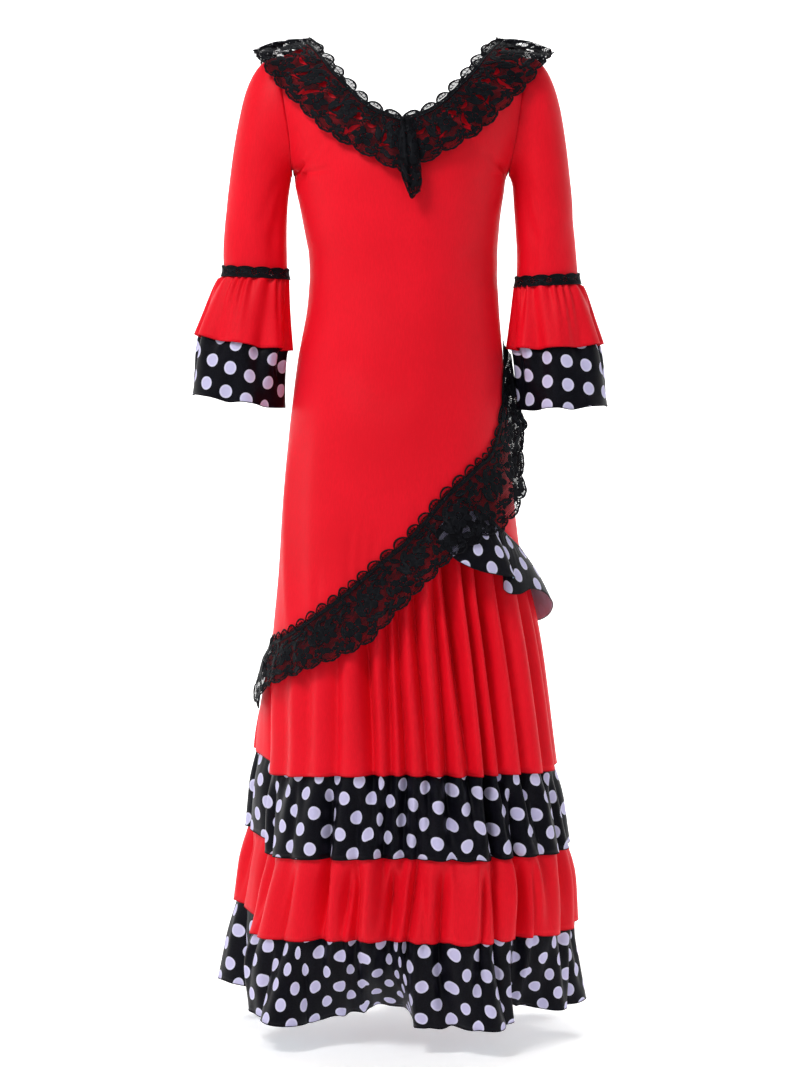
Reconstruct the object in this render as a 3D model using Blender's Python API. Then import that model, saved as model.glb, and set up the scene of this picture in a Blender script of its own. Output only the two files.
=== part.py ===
"""A flamenco dress, worn shape with no wearer: metres, +Z up, +X to the viewer's right.

The front faces -Y. The origin lies between the shoulders, where a wearer holds the dress up.
Azimuths run round the dress: 0 is the front, +90 the viewer's right side, 180 the back.
"""
import math

import bmesh
import bpy
import numpy as np

MM = 0.001

# Cloth and seams
KNIT_WALL = 1.5 * MM
SATIN_WALL = 1.2 * MM
LACE_WALL = 1.0 * MM
SEAM_GAP = 0.4 * MM
LAYER_GAP = 0.9 * MM
TIER_GAP = 2.4 * MM
SHOULDER_GAP = 0.9 * MM
SIDE_GAP_DEGREES = 0.12
SECTION_POWER = 2.15

# Heights of the hems and of the armhole, in mm below the shoulders
TIER_HEMS = (-745.0, -831.0, -912.0, -996.0)
HEM_TILTS = (0.0, 0.0, 3.0, 9.0)
TIER_LAP = 14.0
HEM_LIFT = 0.4
TIER_KNEE = 0.35
ARMHOLE_TOP = -12.0
ARMPIT = -126.0
ARMHOLE_DEPTH = 36.0
SHOULDER_ARCH_START = -100.0
NECK_POINT = 99.0

# How many columns and rows each piece is made of
HALF_COLUMNS = 48
NECK_COLUMNS = 10
SHOULDER_COLUMNS = 4
SIDE_ROWS = 7
TIER_ONE_ROWS = 4
TIER_ROWS = 2
SLEEVE_COLUMNS = 16
FAN_ROWS = 4
CAP_FULLNESS = 0.25
CAP_RISE = 2.0
CUFF_COLUMNS = 36


def table(names, rows):
    """A short table with named columns, as one array a column."""
    columns = zip(*rows)
    return {name: np.array(column, float) for name, column in zip(names, columns)}


# Sections of the sheath and of the skirt's mean ring, in mm
SECTIONS = table(
    ("z", "left", "right", "front", "back"),
    (
        (-998, -172, 186, 126, 130),
        (-913, -165, 175, 138, 138),
        (-831, -151, 170, 132, 134),
        (-745, -141, 159, 120, 126),
        (-628, -138, 142, 106, 112),
        (-552, -131, 127, 101, 106),
        (-477, -126, 117, 98, 103),
        (-401, -119, 111, 95, 99),
        (-326, -110, 105, 90, 91),
        (-262, -99, 100, 86, 84),
        (-225, -98, 99, 86, 82),
        (-174, -106, 102, 90, 83),
        (-126, -115.5, 111, 92, 84),
        (-100, -117, 116, 90, 82),
        (-50, -124, 123, 84, 78),
        (-12, -128, 127, 80, 76),
        (20, -130, 129, 80, 76),
    ),
)

# The neckline and shoulder seam: height over the distance from the middle, in mm
TOP_EDGE = table(
    ("x", "front", "back"),
    (
        (0, -81, -76),
        (10, -78, -73),
        (37, -66, -61),
        (58, -46, -42),
        (99, 3, 3),
        (128, ARMHOLE_TOP, ARMHOLE_TOP),
    ),
)

# The slanted seam between the sheath and the first tier, in mm
HIP_SEAM = table(
    ("x", "z"),
    (
        (-142, -630),
        (-83, -594),
        (-42, -567),
        (-20, -548),
        (6, -522),
        (30, -494),
        (48, -475),
        (65, -468),
        (85, -478),
        (105, -504),
        (126, -524),
    ),
)

# Large lobes and valleys of the skirt: how far each stands out of the mean ring at each hem
LOBES = table(
    ("azimuth", "tier1", "tier2", "tier3", "tier4"),
    (
        (-180, 4, 5, 6, 12),
        (-162, -4, -5, -6, -24),
        (-142, 4, 4, 6, 6),
        (-110, 28, 24, 24, 36),
        (-84, -4, -10, -14, -38),
        (-62, -2, -4, 4, 2),
        (-43, 4, 2, 2, 24),
        (-25, 4, 2, -4, -60),
        (-14, 6, 4, 0, -42),
        (-6, 4, -4, -4, -70),
        (2, 4, 0, 4, -8),
        (14, 4, 6, 10, -2),
        (23, 4, 8, 12, 24),
        (35, -2, 2, 0, -4),
        (41, -4, -2, -6, -62),
        (49, -2, 0, 0, -46),
        (64, 2, 2, 4, -6),
        (84, 2, 4, 6, 6),
        (106, -6, -6, -8, -34),
        (128, 6, 6, 8, 14),
        (149, -4, -5, -6, -36),
        (165, 4, 4, 6, 10),
    ),
)

# Crests of the small gathers on the front of each tier; the back has an even row of its own
GATHERS = (
    (-80, -64, -47, -36, -24, -11, -5, 1, 7, 17, 27, 36, 48, 60, 74),
    (-82, -68, -54, -40, -29, -18, -9, -1, 8, 16, 26, 35, 44, 55, 66, 80),
    (-80, -67, -54, -42, -33, -26, -15, -6, 3, 10, 17, 24, 31, 38, 46, 56, 68, 80),
    (-82, -70, -58, -44, -30, -19, -8, 2, 12, 22, 32, 46, 58, 70, 82),
)
BACK_GATHERS = 14
GATHER_HEIGHTS = (10.0, 7.0, 7.0, 7.0)
GATHER_MEAN = 0.4
GATHER_TALLEST = 1.2
GATHER_ONSET = 25.0

# Sleeves, by distance from the middle, in mm: the viewer's left, then the viewer's right
SLEEVE_NAMES = ("z", "outer", "inner", "depth")
SLEEVES = {
    "left": table(
        SLEEVE_NAMES,
        (
            (-236, 187, 120.5, 32),
            (-212, 187.5, 121, 32),
            (-187, 186, 121, 32),
            (-162, 183.5, 119.5, 32),
            (-138, 181, 116.5, 32.5),
        ),
    ),
    "right": table(
        SLEEVE_NAMES,
        (
            (-244, 183.5, 118.5, 32),
            (-216, 181, 119, 32),
            (-190, 179, 117.5, 32),
            (-162, 177, 115.5, 32),
            (-138, 175, 113.5, 32.5),
        ),
    ),
}
SIDES = {"left": -1, "right": 1}
BAND_HEIGHT = 11.0
BAND_RISE = 7.0
BAND_FLARE = 1.2

# Ruffles of the cuffs: heights and half sizes in mm, gathers round the cuff
CUFFS = {
    "left": dict(top=-237.6, red_hem=-308.0, red_middle=-166, red_wide=48, red_deep=46,
                 dot_top=-296.0, dot_hem=-368.0, dot_middle=-174, dot_wide=48.5, dot_deep=48, tilt=0.07),
    "right": dict(top=-245.6, red_hem=-312.0, red_middle=158.5, red_wide=47.5, red_deep=46,
                  dot_top=-300.0, dot_hem=-375.0, dot_middle=168.5, dot_wide=48, dot_deep=48, tilt=0.05),
}
CUFF_INSET = 3.5 * MM
CUFF_WAVES = 10
CUFF_WAVE_HEIGHT = 4.0
CUFF_BELL = 0.62

# Neck lace, viewer's left half of the front: neck seam and free edge, in mm
NECK_LACE = table(
    ("turn", "neck_x", "neck_z", "edge_x", "edge_z", "lift"),
    (
        (0, 99, 6, 156, 1, 2),
        (1, 86, -12, 149, -23, 7),
        (2, 72, -30, 130, -44, 8),
        (3, 57, -46, 107, -67, 6),
        (4, 42, -61, 80, -94, 5),
        (5, 24, -73, 44, -116, 5),
        (6, 0, -81, 1, -134, 5),
    ),
)
LACE_STEPS = (-0.12, 0.0, 0.36, 0.68, 1.0)
LACE_GAPS = ((1, 2), (3, 3), (4, 1))
LACE_SIDE_GAP_DEGREES = 0.6
NECK_LACE_COLUMNS = 36
NECK_LACE_REPEATS = 7
NECK_LACE_WAVE = 2.0
NECK_LACE_ROLL = 2.2
NECK_LACE_CLEAR = 1.8 * MM
PLEAT = dict(x=7.0, top=-82.0, point=-158.0, half=10.0, ridge=7.0, off=6.5, lift=9.0)
PLEAT_ROWS = 4

# Hip lace: the heading's line on the front, with the lace's drop, in mm
HIP_LACE = table(
    ("azimuth", "heading", "drop", "flare"),
    (
        (-90, -628, 46, 6),
        (-62, -612, 50, 5),
        (-38, -585, 56, 5),
        (-21, -558, 66, 5),
        (-12, -540, 72, 5),
        (0, -516, 62, 5),
        (10, -492, 60, 5),
        (21, -466, 62, 5),
        (32, -448, 66, 5),
        (42, -434, 70, 5),
        (52, -422, 80, 7),
        (62, -398, 86, 12),
        (72, -366, 92, 14),
        (82, -330, 84, 12),
        (90, -314, 62, 5),
    ),
)
HIP_LACE_COLUMNS = 40
HIP_LACE_REPEATS = 8
HIP_LACE_WAVE = 2.0

# Dotted flounce at the viewer's right hip: its depth and how far its hem stands out
HIP_FLOUNCE = table(
    ("azimuth", "top", "depth", "flare", "wave"),
    (
        (18, -492, 6, 1, 0),
        (24, -482, 34, 4, 2),
        (34, -478, 60, 8, 5),
        (46, -484, 70, 11, -2),
        (58, -500, 72, 13, 8),
        (72, -514, 70, 20, -4),
        (88, -524, 68, 18, 6),
        (104, -516, 74, 18, -4),
        (120, -502, 76, 14, 7),
        (134, -484, 68, 10, -2),
        (148, -478, 44, 5, 3),
        (162, -492, 6, 1, 0),
    ),
)
FLOUNCE_COLUMNS = 34
FLOUNCE_ROWS = 3
FLOUNCE_EASE = 7.0

RED = (0.80, 0.012, 0.028, 1.0)
DOTTED = (0.02, 0.02, 0.03, 1.0)
BLACK = (0.012, 0.012, 0.014, 1.0)


def through(xs, ys, x):
    """Smooth curve through the table's points, flat past its ends."""
    order = np.argsort(xs)
    xs = xs[order]
    ys = ys[order]
    slopes = np.gradient(ys, xs)
    x = np.clip(x, xs[0], xs[-1])
    low = np.clip(np.searchsorted(xs, x) - 1, 0, len(xs) - 2)
    span = xs[low + 1] - xs[low]
    t = (x - xs[low]) / span
    rise = (2 * t**3 - 3 * t**2 + 1) * ys[low] + (3 * t**2 - 2 * t**3) * ys[low + 1]
    lean = (t**3 - 2 * t**2 + t) * slopes[low] + (t**3 - t**2) * slopes[low + 1]
    return rise + lean * span


def eased(t):
    t = np.clip(t, 0.0, 1.0)
    return t * t * (3 - 2 * t)


def spread_power(value, power):
    return np.sign(value) * np.abs(value) ** power


def top_edge(x, front):
    """Height of the neckline or shoulder seam, straight between the table's points past the V."""
    return np.interp(np.abs(x), TOP_EDGE["x"], TOP_EDGE["front" if front else "back"])


def shoulder_line(x):
    return np.interp(np.abs(x), (0, NECK_POINT, 128), (14, 3, ARMHOLE_TOP))


def armhole_half(z):
    """How far the armhole opens to the front and back at height z."""
    middle = (ARMHOLE_TOP + ARMPIT) / 2
    half = (ARMHOLE_TOP - ARMPIT) / 2
    return ARMHOLE_DEPTH * np.sqrt(np.clip(1 - ((z - middle) / half) ** 2, 0, 1))


def body_point(azimuth, z):
    """Point of the sheath's outer face, in mm."""
    angle = np.radians(azimuth)
    left = through(SECTIONS["z"], SECTIONS["left"], z)
    right = through(SECTIONS["z"], SECTIONS["right"], z)
    front = through(SECTIONS["z"], SECTIONS["front"], z)
    back = through(SECTIONS["z"], SECTIONS["back"], z)
    across = spread_power(np.sin(angle), 2 / SECTION_POWER)
    toward = np.abs(np.cos(angle)) ** (2 / SECTION_POWER)
    x = (left + right) / 2 + (right - left) / 2 * across
    rise = (z - SHOULDER_ARCH_START) / (shoulder_line(x) - SHOULDER_ARCH_START)
    arch = np.sqrt(np.clip(1 - np.clip(rise, 0, 1) ** 2, 0, 1))
    facing = np.where(np.cos(angle) >= 0, -1.0, 1.0)
    depth = np.where(facing < 0, front, back) * arch
    side = np.minimum(armhole_half(z), depth)
    return np.stack([x, facing * (side + (depth - side) * toward), z + 0 * x], axis=-1)


def hip_seam(azimuth):
    """Height of the slanted seam at an azimuth: found where the seam's curve meets the column."""
    z = np.full(np.shape(azimuth), -550.0)
    for _ in range(12):
        x = body_point(azimuth, z)[..., 0]
        z = (z + through(HIP_SEAM["x"], HIP_SEAM["z"], x)) / 2
    return z


def normals_of(points, around):
    """Unit normals of a grid of points (columns, rows): outward when columns run with the azimuth."""
    along = np.gradient(points, axis=0)
    if around:
        along[0] = (points[1] - points[-1]) / 2
        along[-1] = (points[0] - points[-2]) / 2
    down = np.gradient(points, axis=1)
    normals = np.cross(along, -down)
    return normals / np.maximum(np.linalg.norm(normals, axis=-1, keepdims=True), 1e-9)


def moved(points, distance, around=False):
    return points + normals_of(points, around) * distance


def gather_wave(azimuth, crests):
    """0 in the troughs and 1 on the crests, with each gather as wide as its crests are apart."""
    count = BACK_GATHERS
    back = 90 + (np.arange(count) + 0.5) * 180 / count
    back = back + 2.2 * np.sin(np.arange(count) * 2.4)
    ring = np.sort(np.concatenate([np.array(crests, float), back]))
    ring = np.concatenate([[ring[-1] - 360], ring, [ring[0] + 360]])
    turned = (azimuth - ring[0]) % 360 + ring[0]
    low = np.clip(np.searchsorted(ring, turned, side="right") - 1, 0, len(ring) - 2)
    width = ring[low + 1] - ring[low]
    wave = 0.5 + 0.5 * np.cos(2 * math.pi * (turned - ring[low]) / width)
    taller = 0.75 + 0.25 * np.sin(low * 2.1)
    return wave * np.clip(width / 13, 0.5, 1.3) * taller


def lobe(azimuth, tier):
    """How far the mean ring is pushed out at a tier's hem."""
    rows = LOBES["azimuth"]
    heights = LOBES[f"tier{tier}"]
    ring = np.concatenate([rows, [rows[0] + 360]])
    heights = np.concatenate([heights, [heights[0]]])
    turned = (azimuth - ring[0]) % 360 + ring[0]
    low = np.clip(np.searchsorted(ring, turned, side="right") - 1, 0, len(ring) - 2)
    part = eased((turned - ring[low]) / (ring[low + 1] - ring[low]))
    return heights[low] + (heights[low + 1] - heights[low]) * part


def standing_off(azimuth, z, distance):
    """Point of the sheath's or mean ring's face, moved level outwards."""
    step = 0.5
    along = body_point(azimuth + step, z) - body_point(azimuth - step, z)
    out = np.stack([along[..., 1], -along[..., 0], 0 * along[..., 0]], axis=-1)
    out = out / np.linalg.norm(out, axis=-1, keepdims=True)
    return body_point(azimuth, z) + out * distance[..., None]


def hem_ring(azimuth, tier):
    """Outer face of a tier at its hem, before the cloth's length lifts it."""
    gathers = GATHER_HEIGHTS[tier - 1] * (gather_wave(azimuth, GATHERS[tier - 1]) - GATHER_MEAN)
    z = TIER_HEMS[tier - 1] - HEM_TILTS[tier - 1] * np.cos(np.radians(azimuth))
    return standing_off(azimuth, z, lobe(azimuth, tier) + gathers)


def first_tier_growth(azimuth, z):
    """How much of the first tier's hem folds show at height z: none at its seam, all at its hem."""
    seam = hip_seam(azimuth)
    below = np.clip(seam - z, 0, None)
    near = 0.12 * eased(below / GATHER_ONSET)
    return near + 0.88 * eased(below / (seam - TIER_HEMS[0])) ** 0.8


def over_first_tier(azimuth, z):
    """How far the tops of the first tier's folds stand off the mean ring."""
    tops = np.maximum(lobe(azimuth, 1) + GATHER_HEIGHTS[0] * (GATHER_TALLEST - GATHER_MEAN), 0)
    return tops * first_tier_growth(azimuth, z)


def first_tier(azimuth, front, rows):
    """The first tier, from the slanted seam to its hem: points (columns, rows, 3) in mm."""
    edge = seam_edge(azimuth, front)
    seam = edge[:, 2] - 2 * SEAM_GAP / MM
    hem = hem_ring(azimuth, 1)
    t = np.linspace(0, 1, rows + 1) ** 1.15
    z = seam[:, None] + (TIER_HEMS[0] - seam)[:, None] * t[None, :]
    columns = azimuth[:, None] + 0 * z
    spread = hem - body_point(azimuth, hem[..., 2])
    grow = first_tier_growth(columns, z) * (t[None, :] > 0)
    points = body_point(columns, z) + spread[:, None, :] * grow[..., None]
    points[:, 0, :2] = edge[:, :2]
    return points


def lower_tier(above, azimuth, tier, rows):
    """A tier sewn inside the one above, a little over its hem. Each column keeps its length."""
    inset = moved(above, -(KNIT_WALL + TIER_GAP) / MM)
    hem = hem_ring(azimuth, tier)
    end = inset[:, -1]
    slope = (inset[:, -1] - inset[:, -2])
    slope = slope / np.linalg.norm(slope, axis=-1, keepdims=True)
    start = end - slope * TIER_LAP
    length = end[:, 2].mean() - hem[:, 2]
    run = np.linalg.norm((hem - end)[:, :2], axis=-1)
    drop = np.sqrt(length**2 - HEM_LIFT * np.minimum(run, length) ** 2)
    hem[:, 2] = end[:, 2] - drop
    columns = [start, end - slope * 1.0]
    for k in range(1, rows + 1):
        t = k / rows
        knee = end + slope * length[:, None] * TIER_KNEE
        swing = (1 - t) ** 2 * end + 2 * t * (1 - t) * knee + t**2 * hem
        columns.append(swing)
    return np.stack(columns, axis=1)


def half_azimuths(front):
    """Columns of a front or back half, stopping just short of the side seams."""
    reach = 90 - SIDE_GAP_DEGREES
    columns = np.linspace(-reach, reach, HALF_COLUMNS + 1)
    return columns if front else columns + 180


def body_azimuths(front):
    """Columns of a body panel, with one on each neck point."""
    neck = 49.3
    reach = 90 - SIDE_GAP_DEGREES
    side = np.linspace(neck, reach, SHOULDER_COLUMNS + 1)
    middle = np.linspace(-neck, neck, NECK_COLUMNS + 1)
    columns = np.concatenate([-side[::-1], middle[1:-1], side])
    return columns if front else columns + 180


def body_panel(front):
    azimuth = body_azimuths(front)
    top = np.full(azimuth.shape, -30.0)
    for _ in range(30):
        x = body_point(azimuth, top)[..., 0]
        top = top * 0.5 + 0.5 * top_edge(x, front)
    top = np.minimum(top, shoulder_line(body_point(azimuth, top)[..., 0]) - 0.4)
    bottom = hip_seam(azimuth)
    armhole_rows = SLEEVE_COLUMNS // 2
    upper = (1 - np.cos(np.linspace(0, math.pi, armhole_rows + 1))) / 2
    lower = np.linspace(0, 1, SIDE_ROWS + 1)[1:]
    z_upper = top[:, None] + (ARMPIT - top)[:, None] * upper[None, :]
    z_lower = ARMPIT + (bottom - ARMPIT)[:, None] * lower[None, :]
    z = np.concatenate([z_upper, z_lower], axis=1)
    points = body_point(azimuth[:, None] + 0 * z, z)
    parting = SEAM_GAP / 2 + SHOULDER_GAP * eased(1 + z / 60)
    points[..., 1] += (-1 if front else 1) * parting / MM
    return points


def seam_edge(azimuth, front):
    """The sheath's lower edge, straight between its columns, where the first tier is sewn on."""
    columns = body_azimuths(front)
    edge = body_panel(front)[:, -1]
    return np.stack([np.interp(azimuth, columns, edge[:, axis]) for axis in range(3)], axis=-1)


def wall(name, points, thickness, material, around=False, holes=()):
    """One cloth piece: a grid of outer points (columns, rows) in mm, thickened inwards."""
    columns, rows = points.shape[:2]
    bm = bmesh.new()
    verts = [[bm.verts.new(points[c, r] * MM) for r in range(rows)] for c in range(columns)]
    last = columns if around else columns - 1
    for c in range(last):
        for r in range(rows - 1):
            if (c, r) in holes:
                continue
            d = (c + 1) % columns
            bm.faces.new((verts[c][r], verts[c][r + 1], verts[d][r + 1], verts[d][r]))
    loose = [v for v in bm.verts if not v.link_faces]
    bmesh.ops.delete(bm, geom=loose, context="VERTS")
    mesh = bpy.data.meshes.new(name)
    bm.to_mesh(mesh)
    bm.free()
    mesh.shade_smooth()
    mesh.materials.append(material)
    piece = bpy.data.objects.new(name, mesh)
    bpy.context.scene.collection.objects.link(piece)
    solid = piece.modifiers.new("Wall", "SOLIDIFY")
    solid.thickness = thickness
    solid.offset = -1.0
    return piece


def cloth(name, colour, roughness):
    material = bpy.data.materials.new(name)
    material.use_nodes = True
    shader = material.node_tree.nodes["Principled BSDF"]
    shader.inputs["Base Color"].default_value = colour
    shader.inputs["Roughness"].default_value = roughness
    shader.inputs["Metallic"].default_value = 0.0
    return material


def sleeve_ring(side, z, turn):
    """A level ring of a sleeve: turn 0 is its outer side, 90 its front."""
    rows = SLEEVES[side]
    outer = through(rows["z"], rows["outer"], z)
    inner = through(rows["z"], rows["inner"], z)
    depth = through(rows["z"], rows["depth"], z)
    angle = np.radians(turn)
    x = (outer + inner) / 2 + (outer - inner) / 2 * np.cos(angle)
    y = -depth * np.sin(angle)
    return np.stack([SIDES[side] * x, y, z + 0 * x], axis=-1)


def sleeve_points(side):
    """A sleeve: a fan from the armhole to the first level ring, then level rings to the band."""
    sign = SIDES[side]
    turn = np.arange(SLEEVE_COLUMNS) * 360 / SLEEVE_COLUMNS
    turn = -turn if sign > 0 else turn
    angle = np.radians(turn)
    middle = (ARMHOLE_TOP + ARMPIT) / 2
    z = middle + (ARMHOLE_TOP - ARMPIT) / 2 * np.cos(angle)
    edge = body_point(sign * 90.0, z)[..., 0] + sign * 1.2 * SEAM_GAP / MM
    start = np.stack([edge, -ARMHOLE_DEPTH * np.sin(angle), z], axis=-1)
    rows = SLEEVES[side]["z"]
    end = sleeve_ring(side, np.full(turn.shape, rows[-1]), turn)
    knee = (start + end) / 2
    knee[:, 0] = end[:, 0] + CAP_FULLNESS * (start[:, 0] - end[:, 0])
    knee[:, 2] = z + CAP_RISE * (1 + 2 * np.cos(angle))
    rings = []
    for t in np.linspace(0, 1, FAN_ROWS + 1):
        rings.append((1 - t) ** 2 * start + 2 * t * (1 - t) * knee + t**2 * end)
    for level in rows[-2::-1]:
        rings.append(sleeve_ring(side, np.full(turn.shape, level), turn))
    return np.stack(rings, axis=1)


def ruffle(side, top, hem, top_ring, middle, wide, deep, tilt, phase):
    """A gathered ring of the cuff, flaring from top_ring to its hem."""
    sign = SIDES[side]
    turn = np.arange(CUFF_COLUMNS) * 360 / CUFF_COLUMNS
    turn = -turn if sign > 0 else turn
    angle = np.radians(turn)
    wave = np.cos(CUFF_WAVES * angle + phase + 0.7 * np.sin(2 * angle + phase))
    wave = wave * (0.8 + 0.2 * np.sin(3 * angle + phase))
    start = top_ring(turn)
    rings = [start]
    for t in (0.5, 1.0):
        out = CUFF_WAVE_HEIGHT * t * wave
        x = (abs(middle) + (wide + out) * np.cos(angle))
        y = -(deep + out) * np.sin(angle)
        z = hem + tilt * (x - abs(middle)) + 1.5 * wave
        end = np.stack([sign * x, y, z], axis=-1)
        ring = start + (end - start) * np.array([t**CUFF_BELL, t**CUFF_BELL, t])
        rings.append(ring)
    return np.stack(rings, axis=1)


def cuffs(side, red, dotted, lace):
    """The sleeve's lace band and its red and dotted ruffles."""
    sizes = CUFFS[side]
    seam = sizes["top"]
    sleeve_end = SLEEVES[side]["z"][0]

    def under_sleeve(turn):
        ring = sleeve_ring(side, np.full(turn.shape, sleeve_end), turn)
        ring[:, 2] = seam
        return ring

    upper = ruffle(side, seam, sizes["red_hem"], under_sleeve, sizes["red_middle"], sizes["red_wide"],
                   sizes["red_deep"], sizes["tilt"], 0.6)
    wall(f"cuff_red_ruffle_{side}", upper, KNIT_WALL, red, around=True)
    inset = moved(upper, -(KNIT_WALL + CUFF_INSET) / MM, around=True)
    share = (sizes["dot_top"] - inset[:, 1, 2]) / (inset[:, 2, 2] - inset[:, 1, 2])
    sewn = inset[:, 1] + (inset[:, 2] - inset[:, 1]) * share[:, None]
    leaving = inset[:, 2]
    lower = ruffle(side, seam, sizes["dot_hem"], lambda turn: leaving, sizes["dot_middle"],
                   sizes["dot_wide"], sizes["dot_deep"], sizes["tilt"], 2.9)
    lower = np.concatenate([sewn[:, None], lower], axis=1)
    wall(f"cuff_dotted_ruffle_{side}", lower, SATIN_WALL, dotted, around=True)

    turn = np.arange(SLEEVE_COLUMNS) * 360 / SLEEVE_COLUMNS
    turn = -turn if SIDES[side] > 0 else turn
    low = sleeve_ring(side, np.full(turn.shape, sleeve_end), turn)
    high = sleeve_ring(side, np.full(turn.shape, sleeve_end + BAND_RISE), turn)
    low[:, 2] = sleeve_end + BAND_RISE - BAND_HEIGHT
    band = moved(np.stack([high, low], axis=1), (LACE_WALL + LAYER_GAP) / MM, around=True)
    band[:, 1] += (band[:, 1] - low) * BAND_FLARE
    wall(f"sleeve_lace_band_{side}", band, LACE_WALL, lace, around=True)


def body_depth(x, z, front):
    """How far the sheath's face stands from the side plane at (x, z), carried on past the armhole."""
    left = through(SECTIONS["z"], SECTIONS["left"], z)
    right = through(SECTIONS["z"], SECTIONS["right"], z)
    deep = through(SECTIONS["z"], SECTIONS["front" if front else "back"], z)
    half = (right - left) / 2
    from_middle = np.abs(x - (left + right) / 2)
    across = np.clip(from_middle / half, 0, 1)
    toward = (1 - across**SECTION_POWER) ** (1 / SECTION_POWER)
    rise = (z - SHOULDER_ARCH_START) / (shoulder_line(x) - SHOULDER_ARCH_START)
    arch = np.sqrt(np.clip(1 - np.clip(rise, 0, 1) ** 2, 0, 1))
    side = np.minimum(armhole_half(z), deep * arch)
    past = np.clip((from_middle - half) / ARMHOLE_DEPTH, 0, 1)
    return (side + (deep * arch - side) * toward) * np.sqrt(1 - past**2)


def lace_gaps(columns, repeats):
    """The quads left open: a few in each repeat of the lace."""
    period = columns // repeats
    gaps = set()
    for start in range(0, columns, period):
        for column, row in LACE_GAPS:
            if start + column < columns:
                gaps.add((start + column, row))
    return gaps


def neck_lace(half, lace):
    """The gathered lace that lies from the neckline over the chest and shoulders."""
    front = half == "front"
    facing = -1 if front else 1
    place = np.linspace(-1, 1, NECK_LACE_COLUMNS + 1) * (NECK_LACE["turn"][-1] - 0.03)
    turn = NECK_LACE["turn"][-1] - np.abs(place)
    side = np.where(place < 0, -1.0, 1.0)
    row = {name: through(NECK_LACE["turn"], NECK_LACE[name], turn) for name in NECK_LACE}
    w = np.array(LACE_STEPS)[None, :]
    x = side[:, None] * (row["neck_x"][:, None] + (row["edge_x"] - row["neck_x"])[:, None] * w)
    z = row["neck_z"][:, None] + (row["edge_z"] - row["neck_z"])[:, None] * w
    y = facing * (body_depth(x, z, front) + SHOULDER_GAP / MM + 0.4)
    laid = np.stack([x, y, z], axis=-1)
    wave = 1 + np.cos(2 * math.pi * NECK_LACE_REPEATS * place / 12 + (0.5 if front else 2.0))
    low = np.clip(w, 0, 1)
    own = (LACE_WALL + NECK_LACE_CLEAR) / MM
    off = own + row["lift"][:, None] * np.sqrt(low) + NECK_LACE_WAVE * wave[:, None] * low
    rolled = math.pi / 2 * eased(turn / NECK_LACE_ROLL)
    out = np.stack([0 * turn, facing * np.sin(rolled), np.cos(rolled)], axis=-1)
    points = laid + out[:, None, :] * off[..., None]
    if not front:
        points = points[::-1]
    gaps = lace_gaps(NECK_LACE_COLUMNS, NECK_LACE_REPEATS - 1)
    wall(f"neck_lace_{half}", points, LACE_WALL, lace, holes=gaps)


def centre_pleat(lace):
    """The folded pleat at centre front: it leaves the neckline with the lace and hangs over it."""
    z = np.linspace(PLEAT["top"], PLEAT["point"], PLEAT_ROWS + 1)
    fallen = (z - z[0]) / (z[-1] - z[0])
    half = PLEAT["half"] * (0.75 + 0.35 * fallen - 0.65 * fallen**4)
    across = np.array((-1.0, -0.5, 0.0, 0.5, 1.0))
    x = PLEAT["x"] + across[:, None] * half[None, :]
    z = z[None, :] + 14 * np.abs(across[:, None]) * fallen[None, :]
    ridge = PLEAT["ridge"] * (1 - np.abs(across[:, None])) * (0.2 + 0.8 * fallen - 0.7 * fallen**4)[None, :]
    off = PLEAT["off"] + PLEAT["lift"] * np.minimum(fallen / 0.7, 1) ** 0.6
    y = -(body_depth(x, z, True) + off[None, :] + ridge)
    wall("neck_lace_centre_pleat", np.stack([x, y, z], axis=-1), LACE_WALL, lace)


def flounce_sizes(azimuth):
    return {name: through(HIP_FLOUNCE["azimuth"], HIP_FLOUNCE[name], azimuth) for name in HIP_FLOUNCE}


def flounce_off(azimuth, fallen):
    """How far the hip flounce stands off the first tier's folds."""
    sizes = flounce_sizes(azimuth)
    own = (SATIN_WALL + LAYER_GAP) / MM
    return own + sizes["flare"] * fallen + sizes["wave"] * fallen


def hip_flounce(dotted):
    rows = HIP_FLOUNCE["azimuth"]
    azimuth = np.linspace(rows[0], rows[-1], FLOUNCE_COLUMNS + 1)
    t = np.linspace(0, 1, FLOUNCE_ROWS + 1)[None, :]
    sizes = flounce_sizes(azimuth)
    z = sizes["top"][:, None] - 1.0 - sizes["depth"][:, None] * t
    columns = azimuth[:, None] + 0 * z
    off = over_first_tier(columns, z) + flounce_off(columns, t + 0 * z)
    wall("hip_dotted_flounce", standing_off(columns, z, off), SATIN_WALL, dotted)


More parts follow.
